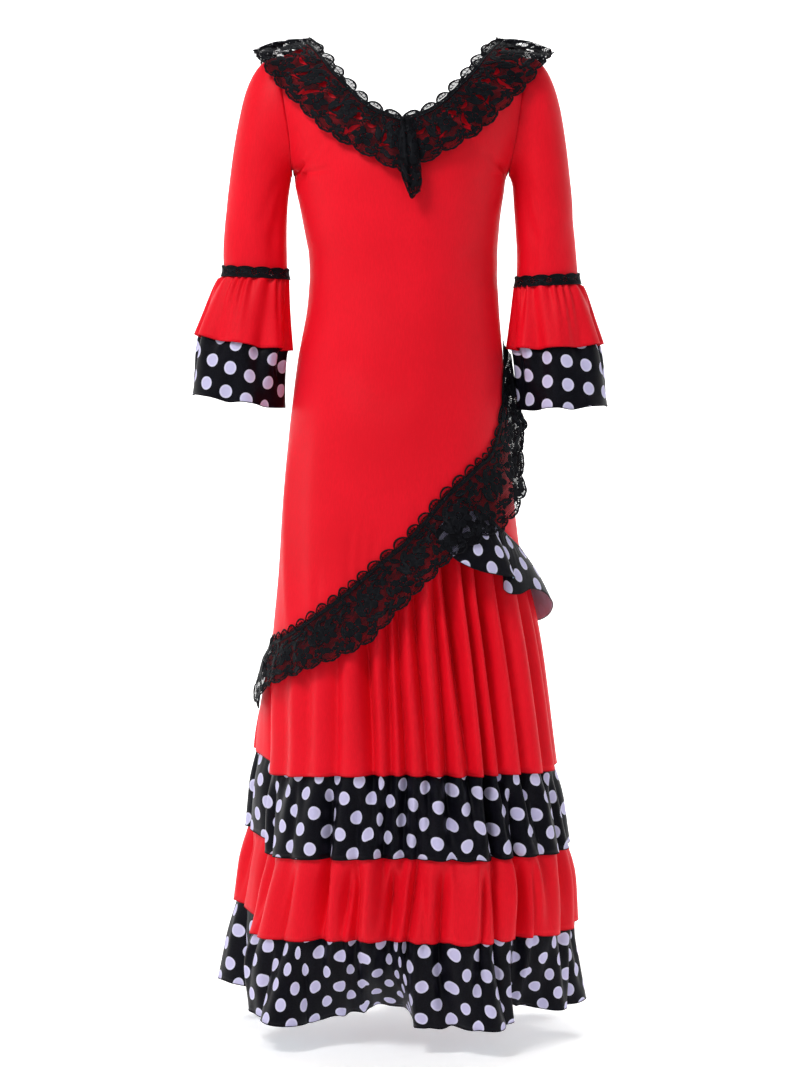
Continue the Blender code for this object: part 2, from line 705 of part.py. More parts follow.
def hip_lace(half, lace):
    """The slanted lace over the hip seam; the back mirrors the front."""
    front = half == "front"
    reach = 90 - LACE_SIDE_GAP_DEGREES
    azimuth = np.linspace(-reach, reach, HIP_LACE_COLUMNS + 1)
    heading = through(HIP_LACE["azimuth"], HIP_LACE["heading"], azimuth)
    drop = through(HIP_LACE["azimuth"], HIP_LACE["drop"], azimuth)
    flare = through(HIP_LACE["azimuth"], HIP_LACE["flare"], azimuth)[:, None]
    w = np.array(LACE_STEPS)[None, :]
    z = heading[:, None] - drop[:, None] * w
    turn = azimuth if front else 180 - azimuth
    columns = turn[:, None] + 0 * z
    sizes = flounce_sizes(columns)
    fallen = np.clip((sizes["top"] - z) / sizes["depth"], 0, 1)
    ends = HIP_FLOUNCE["azimuth"]
    inside = eased((columns - ends[0]) / FLOUNCE_EASE + 1) * eased((ends[-1] - columns) / FLOUNCE_EASE + 1)
    over_top = eased((sizes["top"] - z) / FLOUNCE_EASE + 1)
    under = inside * over_top * flounce_off(columns, fallen)
    wave = 1 + np.cos(2 * math.pi * HIP_LACE_REPEATS * azimuth / 180)
    low = np.clip(w, 0, 1)
    own = (LACE_WALL + LAYER_GAP) / MM + (flare * low + HIP_LACE_WAVE * wave[:, None]) * low
    points = standing_off(columns, z, over_first_tier(columns, z) + np.maximum(under, 0) + own)
    if not front:
        points = points[::-1]
    wall(f"hip_lace_{half}", points, LACE_WALL, lace, holes=lace_gaps(HIP_LACE_COLUMNS, HIP_LACE_REPEATS))


def build():
    for item in list(bpy.data.objects):
        bpy.data.objects.remove(item, do_unlink=True)
    red = cloth("red_knit", RED, 0.45)
    dotted = cloth("dotted_satin", DOTTED, 0.4)
    lace = cloth("black_lace", BLACK, 0.6)
    for side in ("left", "right"):
        wall(f"sleeve_{side}", sleeve_points(side), KNIT_WALL, red, around=True)
        cuffs(side, red, dotted, lace)
    for half in ("front", "back"):
        front = half == "front"
        wall(f"sheath_{half}", body_panel(front), KNIT_WALL, red)
        azimuth = half_azimuths(front)
        tier = first_tier(azimuth, front, TIER_ONE_ROWS)
        wall(f"tier1_red_{half}", tier, KNIT_WALL, red)
        for number, kind, material in ((2, "dotted", dotted), (3, "red", red), (4, "dotted", dotted)):
            tier = lower_tier(tier, azimuth, number, TIER_ROWS)
            thickness = SATIN_WALL if kind == "dotted" else KNIT_WALL
            wall(f"tier{number}_{kind}_{half}", tier, thickness, material)
        neck_lace(half, lace)
        hip_lace(half, lace)
    centre_pleat(lace)
    hip_flounce(dotted)


build()
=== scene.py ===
import math

import bpy
import numpy as np
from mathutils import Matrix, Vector
from mathutils.bvhtree import BVHTree


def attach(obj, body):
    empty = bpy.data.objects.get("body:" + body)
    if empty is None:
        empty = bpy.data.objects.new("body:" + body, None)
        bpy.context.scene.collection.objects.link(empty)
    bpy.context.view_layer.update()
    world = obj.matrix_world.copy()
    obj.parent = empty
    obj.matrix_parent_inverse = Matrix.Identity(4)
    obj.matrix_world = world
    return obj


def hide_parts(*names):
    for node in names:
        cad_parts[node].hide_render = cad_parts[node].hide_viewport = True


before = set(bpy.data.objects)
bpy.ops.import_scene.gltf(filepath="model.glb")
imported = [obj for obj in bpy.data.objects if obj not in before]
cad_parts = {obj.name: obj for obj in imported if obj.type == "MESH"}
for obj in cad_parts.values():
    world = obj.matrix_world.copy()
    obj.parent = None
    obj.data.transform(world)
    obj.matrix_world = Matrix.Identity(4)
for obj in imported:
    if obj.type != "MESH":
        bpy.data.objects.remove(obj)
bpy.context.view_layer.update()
mm = 0.001


# materials: a wave texture of scale 1 has its bands this far apart, in metres
bandUnit = 0.314


# adds and links the nodes of one material
class Nodes:

    def __init__(self, name):
        self.material = bpy.data.materials.new(name)
        self.material.use_nodes = True
        self.tree = self.material.node_tree
        self.shader = self.tree.nodes["Principled BSDF"]

    def add(self, kind, **settings):
        node = self.tree.nodes.new(kind)
        for key, value in settings.items():
            if hasattr(node, key):
                setattr(node, key, value)
            else:
                self.put(node.inputs[key], value)
        return node

    def put(self, socket, value):
        if isinstance(value, bpy.types.NodeSocket):
            self.tree.links.new(value, socket)
        else:
            socket.default_value = value

    def math(self, operation, a, b=0.0):
        node = self.add("ShaderNodeMath", operation=operation)
        self.put(node.inputs[0], a)
        self.put(node.inputs[1], b)
        return node.outputs[0]

    def vector(self, operation, a, b=(0, 0, 0)):
        node = self.add("ShaderNodeVectorMath", operation=operation)
        self.put(node.inputs[0], a)
        self.put(node.inputs[1], b)
        return node.outputs["Value"] if operation == "LENGTH" else node.outputs[0]

    def ramp(self, value, low, high, start=0.0, end=1.0):
        node = self.add("ShaderNodeMapRange", interpolation_type="SMOOTHSTEP", Value=value)
        for key, given in zip(("From Min", "From Max", "To Min", "To Max"), (low, high, start, end)):
            self.put(node.inputs[key], given)
        return node.outputs[0]

    def mix(self, share, a, b):
        node = self.add("ShaderNodeMix", data_type="RGBA")
        self.put(node.inputs["Factor"], share)
        self.put(node.inputs["A"], a)
        self.put(node.inputs["B"], b)
        return node.outputs["Result"]

    def turned(self, vector, degrees):
        kind = "ShaderNodeVectorRotate"
        return self.add(kind, rotation_type="Z_AXIS", Vector=vector, Angle=math.radians(degrees)).outputs[0]

    # soft bands, a period apart
    def bands(self, vector, period, **settings):
        scale = bandUnit / period
        return self.add("ShaderNodeTexWave", Vector=vector, Scale=scale, **settings).outputs["Fac"]

    def bump(self, height, strength, distance):
        node = self.add("ShaderNodeBump", Strength=strength, Distance=distance, Height=height)
        self.put(self.shader.inputs["Normal"], node.outputs[0])

    def noise(self, coordinates, scale, detail=2.0, stretch=(1, 1, 1)):
        stretched = self.vector("MULTIPLY", coordinates, stretch)
        return self.add("ShaderNodeTexNoise", Vector=stretched, Scale=scale, Detail=detail).outputs["Fac"]

    # sets or links the shader's own sockets
    def finish(self, sockets):
        for name, value in sockets.items():
            self.put(self.shader.inputs[name], value)


def clothUv(nodes):
    return nodes.add("ShaderNodeUVMap", uv_map="cloth").outputs[0]


def objectPlace(nodes):
    return nodes.add("ShaderNodeTexCoord").outputs["Object"]


# a colour made darker or lighter
def toned(colour, share):
    return [c * share for c in colour[:3]] + [1]


# camera, lights and floor

studio = {
    "cameraPlace": (-0.003, -3.2, -0.30),
    "cameraAim": (-0.003, 0.0, -0.5075),
    "lens": 103,
    "sensor": 36,
    "floorHeight": -1.035,
    "rimDistance": 5.4,
    "bendRadius": 1.4,
    "rimHeight": 2.4,
    "bendSteps": 14,
    "roundSteps": 96,
    "paper": (0.9, 0.9, 0.9, 1),
    "paperGlow": 0.39,
    "frontGlow": 0.02,
    "glowFade": (-0.5, -0.16),
    "worldStrength": 0.1,
    # place, aim, size, power
    "lights": {
        "keyLight": ((-1.0, -1.45, 1.3), (0, 0, -0.1), 0.7, 36),
        "fillLight": ((0.75, -1.8, 1.3), (0, 0, -0.1), 0.9, 4),
        "backLight": ((0.0, 1.6, 2.3), (0, 4.6, -0.6), 2.6, 210),
    },
}


def aimed(item, target):
    item.rotation_euler = (Vector(target) - item.location).to_track_quat("-Z", "Y").to_euler()


def setCamera():
    bpy.ops.object.camera_add(location=studio["cameraPlace"])
    camera = bpy.context.object
    camera.name = "camera"
    camera.data.lens = studio["lens"]
    camera.data.sensor_width = studio["sensor"]
    aimed(camera, studio["cameraAim"])
    bpy.context.scene.camera = camera


def setLights():
    for name, (place, target, size, power) in studio["lights"].items():
        bpy.ops.object.light_add(type="AREA", location=place)
        light = bpy.context.object
        light.name = name
        light.data.size = size
        light.data.energy = power
        light.visible_camera = False
        aimed(light, target)
    world = bpy.data.worlds.new("studioAir")
    bpy.context.scene.world = world
    world.use_nodes = True
    air = world.node_tree.nodes["Background"].inputs
    air["Color"].default_value = (1, 1, 1, 1)
    air["Strength"].default_value = studio["worldStrength"]


# distance and height of the seamless floor, from its middle out round the bend and up the rim
def floorProfile():
    floor, rim, radius = studio["floorHeight"], studio["rimDistance"], studio["bendRadius"]
    line = [(0.0, floor), (rim - radius, floor)]
    for k in range(1, studio["bendSteps"] + 1):
        angle = math.pi / 2 * k / studio["bendSteps"]
        line.append((rim - radius + radius * math.sin(angle), floor + radius - radius * math.cos(angle)))
    line.append((rim, studio["rimHeight"]))
    return line


def layFloor():
    line = floorProfile()
    bpy.ops.object.select_all(action="DESELECT")
    bpy.ops.mesh.primitive_grid_add(x_subdivisions=studio["roundSteps"], y_subdivisions=len(line) - 1, size=2)
    floor = bpy.context.object
    floor.name = "seamlessFloor"
    for vertex in floor.data.vertices:
        distance, height = line[round((vertex.co.y + 1) / 2 * (len(line) - 1))]
        angle = -math.pi * vertex.co.x
        vertex.co = (distance * math.sin(angle), distance * math.cos(angle), height)
    bpy.ops.object.mode_set(mode="EDIT")
    bpy.ops.mesh.select_all(action="SELECT")
    bpy.ops.mesh.remove_doubles(threshold=0.0001)
    bpy.ops.object.mode_set(mode="OBJECT")
    floor.data.shade_smooth()
    # the paper glows under, behind and beside the dress, and fades round to the front of it
    paper = Nodes("floorPaper")
    direction = paper.vector("NORMALIZE", objectPlace(paper))
    behind = paper.add("ShaderNodeSeparateXYZ", Vector=direction).outputs["Y"]
    glow = paper.ramp(behind, *studio["glowFade"], studio["frontGlow"], studio["paperGlow"])
    paper.finish({
        "Base Color": studio["paper"],
        "Roughness": 0.9,
        "Emission Color": (1, 1, 1, 1),
        "Emission Strength": glow,
    })
    floor.data.materials.append(paper.material)


bpy.context.scene.view_settings.view_transform = "Standard"
setCamera()
setLights()
layFloor()
print("studio: camera, lights and floor")


# small helpers for tables, curves and surfaces, in mm


# columns of numbers by name
def table(names, rows):
    columns = zip(*rows)
    return {name: np.array(column, float) for name, column in zip(names, columns)}


# smooth curve through points, flat past its ends
def through(xs, ys, x):
    order = np.argsort(xs)
    xs, ys = xs[order], ys[order]
    slopes = np.gradient(ys, xs)
    x = np.clip(x, xs[0], xs[-1])
    low = np.clip(np.searchsorted(xs, x) - 1, 0, len(xs) - 2)
    span = xs[low + 1] - xs[low]
    t = (x - xs[low]) / span
    rise = (2 * t**3 - 3 * t**2 + 1) * ys[low] + (3 * t**2 - 2 * t**3) * ys[low + 1]
    lean = (t**3 - 2 * t**2 + t) * slopes[low] + (t**3 - t**2) * slopes[low + 1]
    return rise + lean * span


# a table's column, read at given places of its first column
def read(rows, name, at):
    return through(next(iter(rows.values())), rows[name], at)


def eased(t):
    t = np.clip(t, 0.0, 1.0)
    return t * t * (3 - 2 * t)


def unit(vectors):
    return vectors / np.maximum(np.linalg.norm(vectors, axis=-1, keepdims=True), 1e-9)


# unit normals of a grid (columns, rows, 3), outward when columns run with the azimuth
def normalsOf(points, around=False):
    along = np.gradient(points, axis=0)
    if around:
        along[0] = along[-1] = (points[1] - points[-2]) / 2
    down = np.gradient(points, axis=1)
    return unit(np.cross(along, -down))


# distance along each line of a grid of points, from its start
def runLength(points, axis):
    steps = np.linalg.norm(np.diff(points, axis=axis), axis=-1)
    total = np.cumsum(steps, axis=axis)
    start = np.zeros_like(np.take(total, [0], axis=axis))
    return np.concatenate([start, total], axis=axis)


def deselectAll():
    if bpy.context.object and bpy.context.object.mode != "OBJECT":
        bpy.ops.object.mode_set(mode="OBJECT")
    bpy.ops.object.select_all(action="DESELECT")


def selectOnly(piece):
    deselectAll()
    piece.select_set(True)
    bpy.context.view_layer.objects.active = piece


def thicken(piece, thickness, offset=-1.0):
    selectOnly(piece)
    wall = piece.modifiers.new("wall", "SOLIDIFY")
    wall.thickness = thickness * mm
    wall.offset = offset
    wall.material_offset = 1
    wall.material_offset_rim = 1
    bpy.ops.object.modifier_apply(modifier=wall.name)


# closes the seam where a ring's last column meets its first
def mergeSeam(piece):
    selectOnly(piece)
    bpy.ops.object.mode_set(mode="EDIT")
    bpy.ops.mesh.select_all(action="SELECT")
    bpy.ops.mesh.remove_doubles(threshold=0.00002)
    bpy.ops.object.mode_set(mode="OBJECT")


# the vertex at each corner of each face
def cornersOf(mesh):
    corner = np.empty(len(mesh.loops), dtype=np.int64)
    mesh.loops.foreach_get("vertex_index", corner)
    return corner


# a grid primitive laid on the points (columns, rows), with its UV map in metres of cloth
def clothSheet(name, points, thickness, faceCloth, reverseCloth, around=False, grain=0.0):
    columns, rows = points.shape[:2]
    deselectAll()
    bpy.ops.mesh.primitive_grid_add(x_subdivisions=columns - 1, y_subdivisions=rows - 1, size=2)
    piece = bpy.context.object
    piece.name = name
    mesh = piece.data
    flat = np.empty(len(mesh.vertices) * 3)
    mesh.vertices.foreach_get("co", flat)
    flat = flat.reshape(-1, 3)
    column = np.rint((flat[:, 0] + 1) / 2 * (columns - 1)).astype(int)
    row = np.rint((1 - flat[:, 1]) / 2 * (rows - 1)).astype(int)
    mesh.vertices.foreach_set("co", (points[column, row] * mm).ravel())
    u = runLength(points, 0)[:, -1]
    v = runLength(points, 1)
    corner = cornersOf(mesh)
    u, v = u[column[corner]], -v[column[corner], row[corner]]
    along, aside = math.cos(math.radians(grain)), math.sin(math.radians(grain))
    cloth = np.stack([u * along - v * aside, u * aside + v * along], axis=-1) * mm
    mesh.uv_layers[0].name = "cloth"
    mesh.uv_layers[0].data.foreach_set("uv", cloth.ravel())
    mesh.update()
    if around:
        mergeSeam(piece)
    mesh.materials.append(faceCloth)
    mesh.materials.append(reverseCloth)
    thicken(piece, thickness)
    mesh.shade_smooth()
    return piece


# a thin sewn thread along one or more lines of points, made as a round tube
def threadAlong(name, lines, radius, thread, closed=False):
    curve = bpy.data.curves.new(name, "CURVE")
    curve.dimensions = "3D"
    curve.bevel_depth = radius * mm
    curve.bevel_resolution = 1
    curve.use_fill_caps = True
    for line in lines:
        spline = curve.splines.new("POLY")
        spline.points.add(len(line) - 1)
        spline.points.foreach_set("co", np.concatenate([line * mm, np.ones((len(line), 1))], axis=1).ravel())
        spline.use_cyclic_u = closed
    piece = bpy.data.objects.new(name, curve)
    bpy.context.scene.collection.objects.link(piece)
    selectOnly(piece)
    bpy.ops.object.convert(target="MESH")
    piece = bpy.context.object
    piece.data.materials.clear()
    piece.data.materials.append(thread)
    piece.data.shade_smooth()
    return piece


# every piece rides on the one body, and the CAD nodes it stands for are hidden
def sewnOn(piece, slot, *nodes):
    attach(piece, "root")
    if nodes:
        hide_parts(*nodes)
    return piece


# sews on a sheet of cloth in place of its CAD nodes, with a thread along its hem
def sewCloth(name, points, look, nodes, around=False, hemThread=0.0, grain=0.0):
    cloth = cloths[look]
    piece = clothSheet(name, points, cloth["wall"], cloth["face"], cloth["reverse"], around, grain)
    sewnOn(piece, cloth["slot"], *nodes)
    if hemThread:
        edge = points[:, -1] - normalsOf(points, around)[:, -1] * cloth["wall"] / 2
        edge = edge[:-1] if around else edge
        hem = threadAlong(f"{name}HemThread", [edge], hemThread, cloth["thread"], around)
        sewnOn(hem, cloth["slot"])


# cloths

red = {
    "lit": (0.86, 0.0045, 0.019, 1),
    "deep": (0.76, 0.003, 0.014, 1),
    "inside": (0.52, 0.004, 0.012, 1),
    "thread": (0.62, 0.006, 0.016, 1),
    "roughness": 0.48,
    "sheen": 0.03,
    "sheenTint": (1.0, 0.35, 0.4, 1),
    "gloss": 0.14,
    "blotchScale": 9,
    "yarnScale": 900,
    "ribPeriod": 0.9 * mm,
    "relief": 0.12 * mm,
    "wall": 0.7,
}
dotted = {
    "ground": (0.0032, 0.0032, 0.0055, 1),
    "dot": (0.70, 0.68, 0.90, 1),
    "core": (0.58, 0.55, 0.80, 1),
    "rim": 1.9 * mm,
    # the reverse's colour, brightened and tinted blue past the cloth's own lavender: painted light against
    # the shade and red bounce light it hangs in
    "reverse": (0.56, 0.78, 1.0, 1),
    "thread": (0.010, 0.010, 0.013, 1),
    "dotRadius": 6.9 * mm,
    "across": 33.0 * mm,
    "down": 37.0 * mm,
    "skew": 4.0,
    "edge": 0.22 * mm,
    "roughness": 0.40,
    "gloss": 0.08,
    "grainScale": 700,
    "twillPeriod": 0.55 * mm,
    "reversePeriod": 0.5 * mm,
    "relief": 0.06 * mm,
    "wall": 0.5,
}
lace = {
    "flower": (0.0055, 0.006, 0.008, 1),
    # the cord is a touch lighter than the flowers: a painted highlight standing for the cord thread's sheen
    "cord": (0.010, 0.011, 0.014, 1),
    "net": (0.006, 0.006, 0.008, 1),
    "netPeriod": 1.25 * mm,
    "netThread": 0.25,
    "netEdge": 0.12,
    "netAngles": (35, -35, 90),
    "gloss": 0.05,
    "stitchScale": 420,
    "relief": 0.3 * mm,
    "twistScale": 1600,
    "twistRelief": 0.15 * mm,
    "wall": 0.45,
}


def redKnit(name="redKnit", inside=False):
    nodes = Nodes(name)
    place = objectPlace(nodes)
    blotch = nodes.noise(place, red["blotchScale"], 3)
    yarn = nodes.noise(place, red["yarnScale"], 2, (1, 1, 0.16))
    tone = nodes.math("ADD", nodes.math("MULTIPLY", blotch, 0.6), nodes.math("MULTIPLY", yarn, 0.4))
    lit = red["inside" if inside else "lit"]
    nodes.finish({
        "Base Color": nodes.mix(nodes.ramp(tone, 0.35, 0.68), red["deep"], lit),
        "Roughness": nodes.ramp(yarn, 0.2, 0.8, red["roughness"], red["roughness"] + 0.1),
        "Sheen Weight": red["sheen"],
        "Sheen Roughness": 0.5,
        "Sheen Tint": red["sheenTint"],
        "Specular IOR Level": red["gloss"],
    })
    rib = nodes.bands(clothUv(nodes), red["ribPeriod"], Distortion=0.6)
    height = nodes.math("ADD", nodes.math("MULTIPLY", rib, 0.5), nodes.math("MULTIPLY", yarn, 0.5))
    nodes.bump(height, 0.28, red["relief"])
    return nodes.material


# 1 inside a polka dot and 0 outside: two lattices, the second half a step on
def dotShare(nodes, uv, radius=dotted["dotRadius"], edge=dotted["edge"]):
    cell = (dotted["across"], dotted["down"], 0)
    steps = nodes.vector("MULTIPLY", nodes.turned(uv, dotted["skew"]), (1 / cell[0], 1 / cell[1], 0))
    reach = []
    for shift in (0.0, 0.5):
        part = nodes.vector("FRACTION", nodes.vector("ADD", steps, (shift, shift, 0)))
        fromMiddle = nodes.vector("SUBTRACT", part, (0.5, 0.5, 0))
        reach.append(nodes.vector("LENGTH", nodes.vector("MULTIPLY", fromMiddle, cell)))
    return nodes.ramp(nodes.math("MINIMUM", *reach), radius - edge, radius + edge, 1.0, 0.0)


# black satin with pale dots, each a little deeper in colour within its rim
def dottedSatin():
    nodes = Nodes("dottedSatin")
    uv = clothUv(nodes)
    dot = dotShare(nodes, uv)
    grain = nodes.ramp(nodes.noise(objectPlace(nodes), dotted["grainScale"], 2), 0.3, 0.7)
    ground = nodes.mix(grain, dotted["ground"], toned(dotted["ground"], 1.7))
    core = dotShare(nodes, uv, dotted["dotRadius"] - dotted["rim"], 3 * dotted["edge"])
    spot = nodes.mix(core, nodes.mix(grain, toned(dotted["dot"], 0.92), dotted["dot"]), dotted["core"])
    nodes.finish({
        "Base Color": nodes.mix(dot, ground, spot),
        "Roughness": nodes.ramp(dot, 0, 1, dotted["roughness"], dotted["roughness"] + 0.12),
        "Specular IOR Level": dotted["gloss"],
    })
    nodes.bump(nodes.bands(uv, dotted["twillPeriod"], bands_direction="DIAGONAL"), 0.2, dotted["relief"])
    return nodes.material


# pale reverse, with the dots showing faintly through; its colour is brightened and tinted blue as painted
# light, against the shade and red bounce light it hangs in
def satinReverseWithPaintedFill():
    nodes = Nodes("satinReverseWithPaintedFill")
    uv = clothUv(nodes)
    ghost = nodes.math("MULTIPLY", dotShare(nodes, uv), 0.5)
    nodes.finish({
        "Base Color": nodes.mix(ghost, toned(dotted["reverse"], 0.82), dotted["reverse"]),
        "Roughness": 0.62,
    })
    nodes.bump(nodes.bands(uv, dotted["reversePeriod"], bands_direction="Y"), 0.25, dotted["relief"])
    return nodes.material


# dense machine embroidery: threads run across it, and a cord stands up along each edge, its lighter colour a
# painted highlight for the cord's sheen
def laceFlowers():
    nodes = Nodes("laceFlowers")
    rim = nodes.add("ShaderNodeAttribute", attribute_name="laceEdge").outputs["Fac"]
    cord = nodes.math("MULTIPLY", nodes.ramp(rim, 0.15, 0.5), nodes.ramp(rim, 1.0, 1.5, 1.0, 0.0))
    stitches = nodes.noise(clothUv(nodes), lace["stitchScale"], 2, (0.35, 1.0, 1))
    nodes.finish({
        # the cord's stitches take the lighter cord colour, a painted highlight; the lower roughness there
        # gives its real gloss
        "Base Color": nodes.mix(nodes.math("MULTIPLY", stitches, cord), lace["flower"], lace["cord"]),
        "Roughness": nodes.ramp(cord, 0, 1, 0.72, 0.5),
        "Specular IOR Level": lace["gloss"],
    })
    nodes.bump(nodes.math("ADD", cord, nodes.math("MULTIPLY", stitches, 0.7)), 0.5, lace["relief"])
    return nodes.material


# fine net: three sets of threads with holes between them
def laceNet():
    nodes = Nodes("laceNet")
    uv = clothUv(nodes)
    low, high = (1 - lace["netThread"] + side * lace["netEdge"] for side in (-1, 1))
    bars = [nodes.ramp(nodes.bands(nodes.turned(uv, angle), lace["netPeriod"]), low, high)
            for angle in lace["netAngles"]]
    nodes.finish({
        "Base Color": lace["net"],
        "Roughness": 0.7,
        "Specular IOR Level": lace["gloss"],
        "Alpha": nodes.math("MAXIMUM", nodes.math("MAXIMUM", bars[0], bars[1]), bars[2]),
    })
    return nodes.material


def sewingThread(name, colour):
    nodes = Nodes(name)
    twist = nodes.noise(objectPlace(nodes), lace["twistScale"], 1)
    nodes.finish({
        "Base Color": nodes.mix(twist, toned(colour, 0.6), colour),
        "Roughness": 0.6,
        "Specular IOR Level": lace["gloss"],
    })
    nodes.bump(twist, 0.5, lace["twistRelief"])
    return nodes.material


cloths = {
    "red": {"face": redKnit(), "reverse": redKnit("redKnitInside", True), "wall": red["wall"],
            "thread": sewingThread("redThread", red["thread"]), "slot": "red_knit"},
    "dotted": {"face": dottedSatin(), "reverse": satinReverseWithPaintedFill(), "wall": dotted["wall"],
               "thread": sewingThread("blackThread", dotted["thread"]), "slot": "dotted_satin"},
}
flowersCloth, netCloth = laceFlowers(), laceNet()
blackThread = cloths["dotted"]["thread"]
print("cloths: red knit, dotted satin, black lace")


# the worn form, in mm: azimuth 0 is the front, +90 the viewer's right, 180 the back

form = {
    "power": 2.15,
    "armholeTop": -12.0,
    "armpit": -135.0,
    "armholeDepth": 36.0,
    "sideRound": 4.0,
    "archStart": -100.0,
    "shoulderX": (0, 99, 128),
    "shoulderZ": (14, 3, -12),
    "neckAzimuth": 49.3,
    "seamGap": 0.4,
    "seamDent": 0.9,
    "seamWidth": 3.0,
    "seamRounds": 14,
}

# where the form's sides, front and back are at each height
sections = table(
    ("z", "left", "right", "front", "back"),
    (
        (-998, -172, 186, 126, 130), (-913, -165, 175, 138, 138), (-831, -151, 170, 132, 134),
        (-745, -141, 159, 120, 126), (-628, -138, 142, 106, 112), (-552, -131, 127, 101, 106),
        (-477, -126, 117, 98, 103), (-401, -119, 111, 95, 99), (-326, -110, 105, 90, 91),
        (-262, -99, 100, 86, 84), (-225, -98, 99, 86, 82), (-174, -106, 102, 90, 83),
        (-126, -115.5, 111, 92, 84), (-100, -117, 116, 90, 82), (-50, -124, 123, 84, 78),
        (-12, -128, 127, 80, 76), (20, -130, 129, 80, 76),
    ),
)

# height of the neckline and shoulder seam, by distance from the middle
topEdge = table(
    ("x", "front", "back"),
    ((0, -81, -76), (10, -78, -73), (37, -66, -61), (58, -46, -42), (99, 3, 3), (128, -12, -12)),
)

# height of the slanted hip seam, from the viewer's left to right
hipSeamLine = table(
    ("x", "z"),
    (
        (-142, -630), (-83, -594), (-42, -567), (-20, -548), (6, -522), (30, -494), (48, -475),
        (65, -468), (85, -478), (105, -504), (126, -524),
    ),
)


def spreadPower(value, power):
    return np.sign(value) * np.abs(value) ** power


def shoulderLine(x):
    return np.interp(np.abs(x), form["shoulderX"], form["shoulderZ"])


def armholeHalf(z):
    middle = (form["armholeTop"] + form["armpit"]) / 2
    half = (form["armholeTop"] - form["armpit"]) / 2
    return form["armholeDepth"] * np.sqrt(np.clip(1 - ((z - middle) / half) ** 2, 0, 1))


def shoulderArch(x, z):
    rise = (z - form["archStart"]) / (shoulderLine(x) - form["archStart"])
    return np.sqrt(np.clip(1 - np.clip(rise, 0, 1) ** 2, 0, 1))


def roundedSide(depth, toward, z):
    # the side never gets thinner than the armhole, and the front doesn't feel where that starts
    side = np.minimum(armholeHalf(z), depth)
    return (side**form["sideRound"] + (depth * toward) ** form["sideRound"]) ** (1 / form["sideRound"])


# point of the dress's outer face before any fold
def bodyPoint(azimuth, z):
    angle = np.radians(azimuth)
    left, right, front, back = (read(sections, name, z) for name in ("left", "right", "front", "back"))
    across = spreadPower(np.sin(angle), 2 / form["power"])
    toward = np.abs(np.cos(angle)) ** (2 / form["power"])
    x = (left + right) / 2 + (right - left) / 2 * across
    facing = np.where(np.cos(angle) >= 0, -1.0, 1.0)
    depth = np.where(facing < 0, front, back) * shoulderArch(x, z)
    return np.stack([x, facing * roundedSide(depth, toward, z), z + 0 * x], axis=-1)


# how far the dress's face stands from the side plane at (x, z), carried on past the armhole
def bodyDepth(x, z, front):
    left, right, deep = (read(sections, name, z) for name in ("left", "right", "front" if front else "back"))
    half = (right - left) / 2
    fromMiddle = np.abs(x - (left + right) / 2)
    toward = (1 - np.clip(fromMiddle / half, 0, 1) ** form["power"]) ** (1 / form["power"])
    depth = deep * shoulderArch(x, z)
    past = np.clip((fromMiddle - half) / form["armholeDepth"], 0, 1)
    return roundedSide(depth, toward, z) * np.sqrt(1 - past**2)


def hipSeam(azimuth):
    z = np.full(np.shape(azimuth), -550.0)
    for _ in range(form["seamRounds"]):
        z = (z + read(hipSeamLine, "z", bodyPoint(azimuth, z)[..., 0])) / 2
    return z


# level unit vector out of the worn form
def outward(azimuth, z):
    along = bodyPoint(azimuth + 0.5, z) - bodyPoint(azimuth - 0.5, z)
    return unit(np.stack([along[..., 1], -along[..., 0], 0 * along[..., 0]], axis=-1))


def standingOff(azimuth, z, distance):
    return bodyPoint(azimuth, z) + outward(azimuth, z) * np.asarray(distance)[..., None]


# raises soft ridges and troughs that fade towards their ends, each a line from (x, z) to (x, z)
def creased(points, normals, creases, scale=1.0):
    for x0, z0, x1, z1, width, height in creases:
        run = np.array([x1 - x0, z1 - z0], float)
        length = np.linalg.norm(run)
        run /= length
        dx, dz = points[..., 0] - x0, points[..., 2] - z0
        along = (dx * run[0] + dz * run[1]) / length
        off = dx * run[1] - dz * run[0] + 0.12 * length * (np.clip(along, 0, 1) - 0.5) ** 2
        fade = eased(np.minimum(along + 0.25, 1.25 - along) / 0.45)
        points = points + normals * (scale * height * np.exp(-((off / width) ** 2)) * fade)[..., None]
    return points


# sinks the cloth a little along a seam
def dented(points, normals, fromSeam):
    dent = form["seamDent"] * np.exp(-((fromSeam / form["seamWidth"]) ** 2))
    return points - normals * dent[..., None]


# sheath: the fitted front and back of red knit

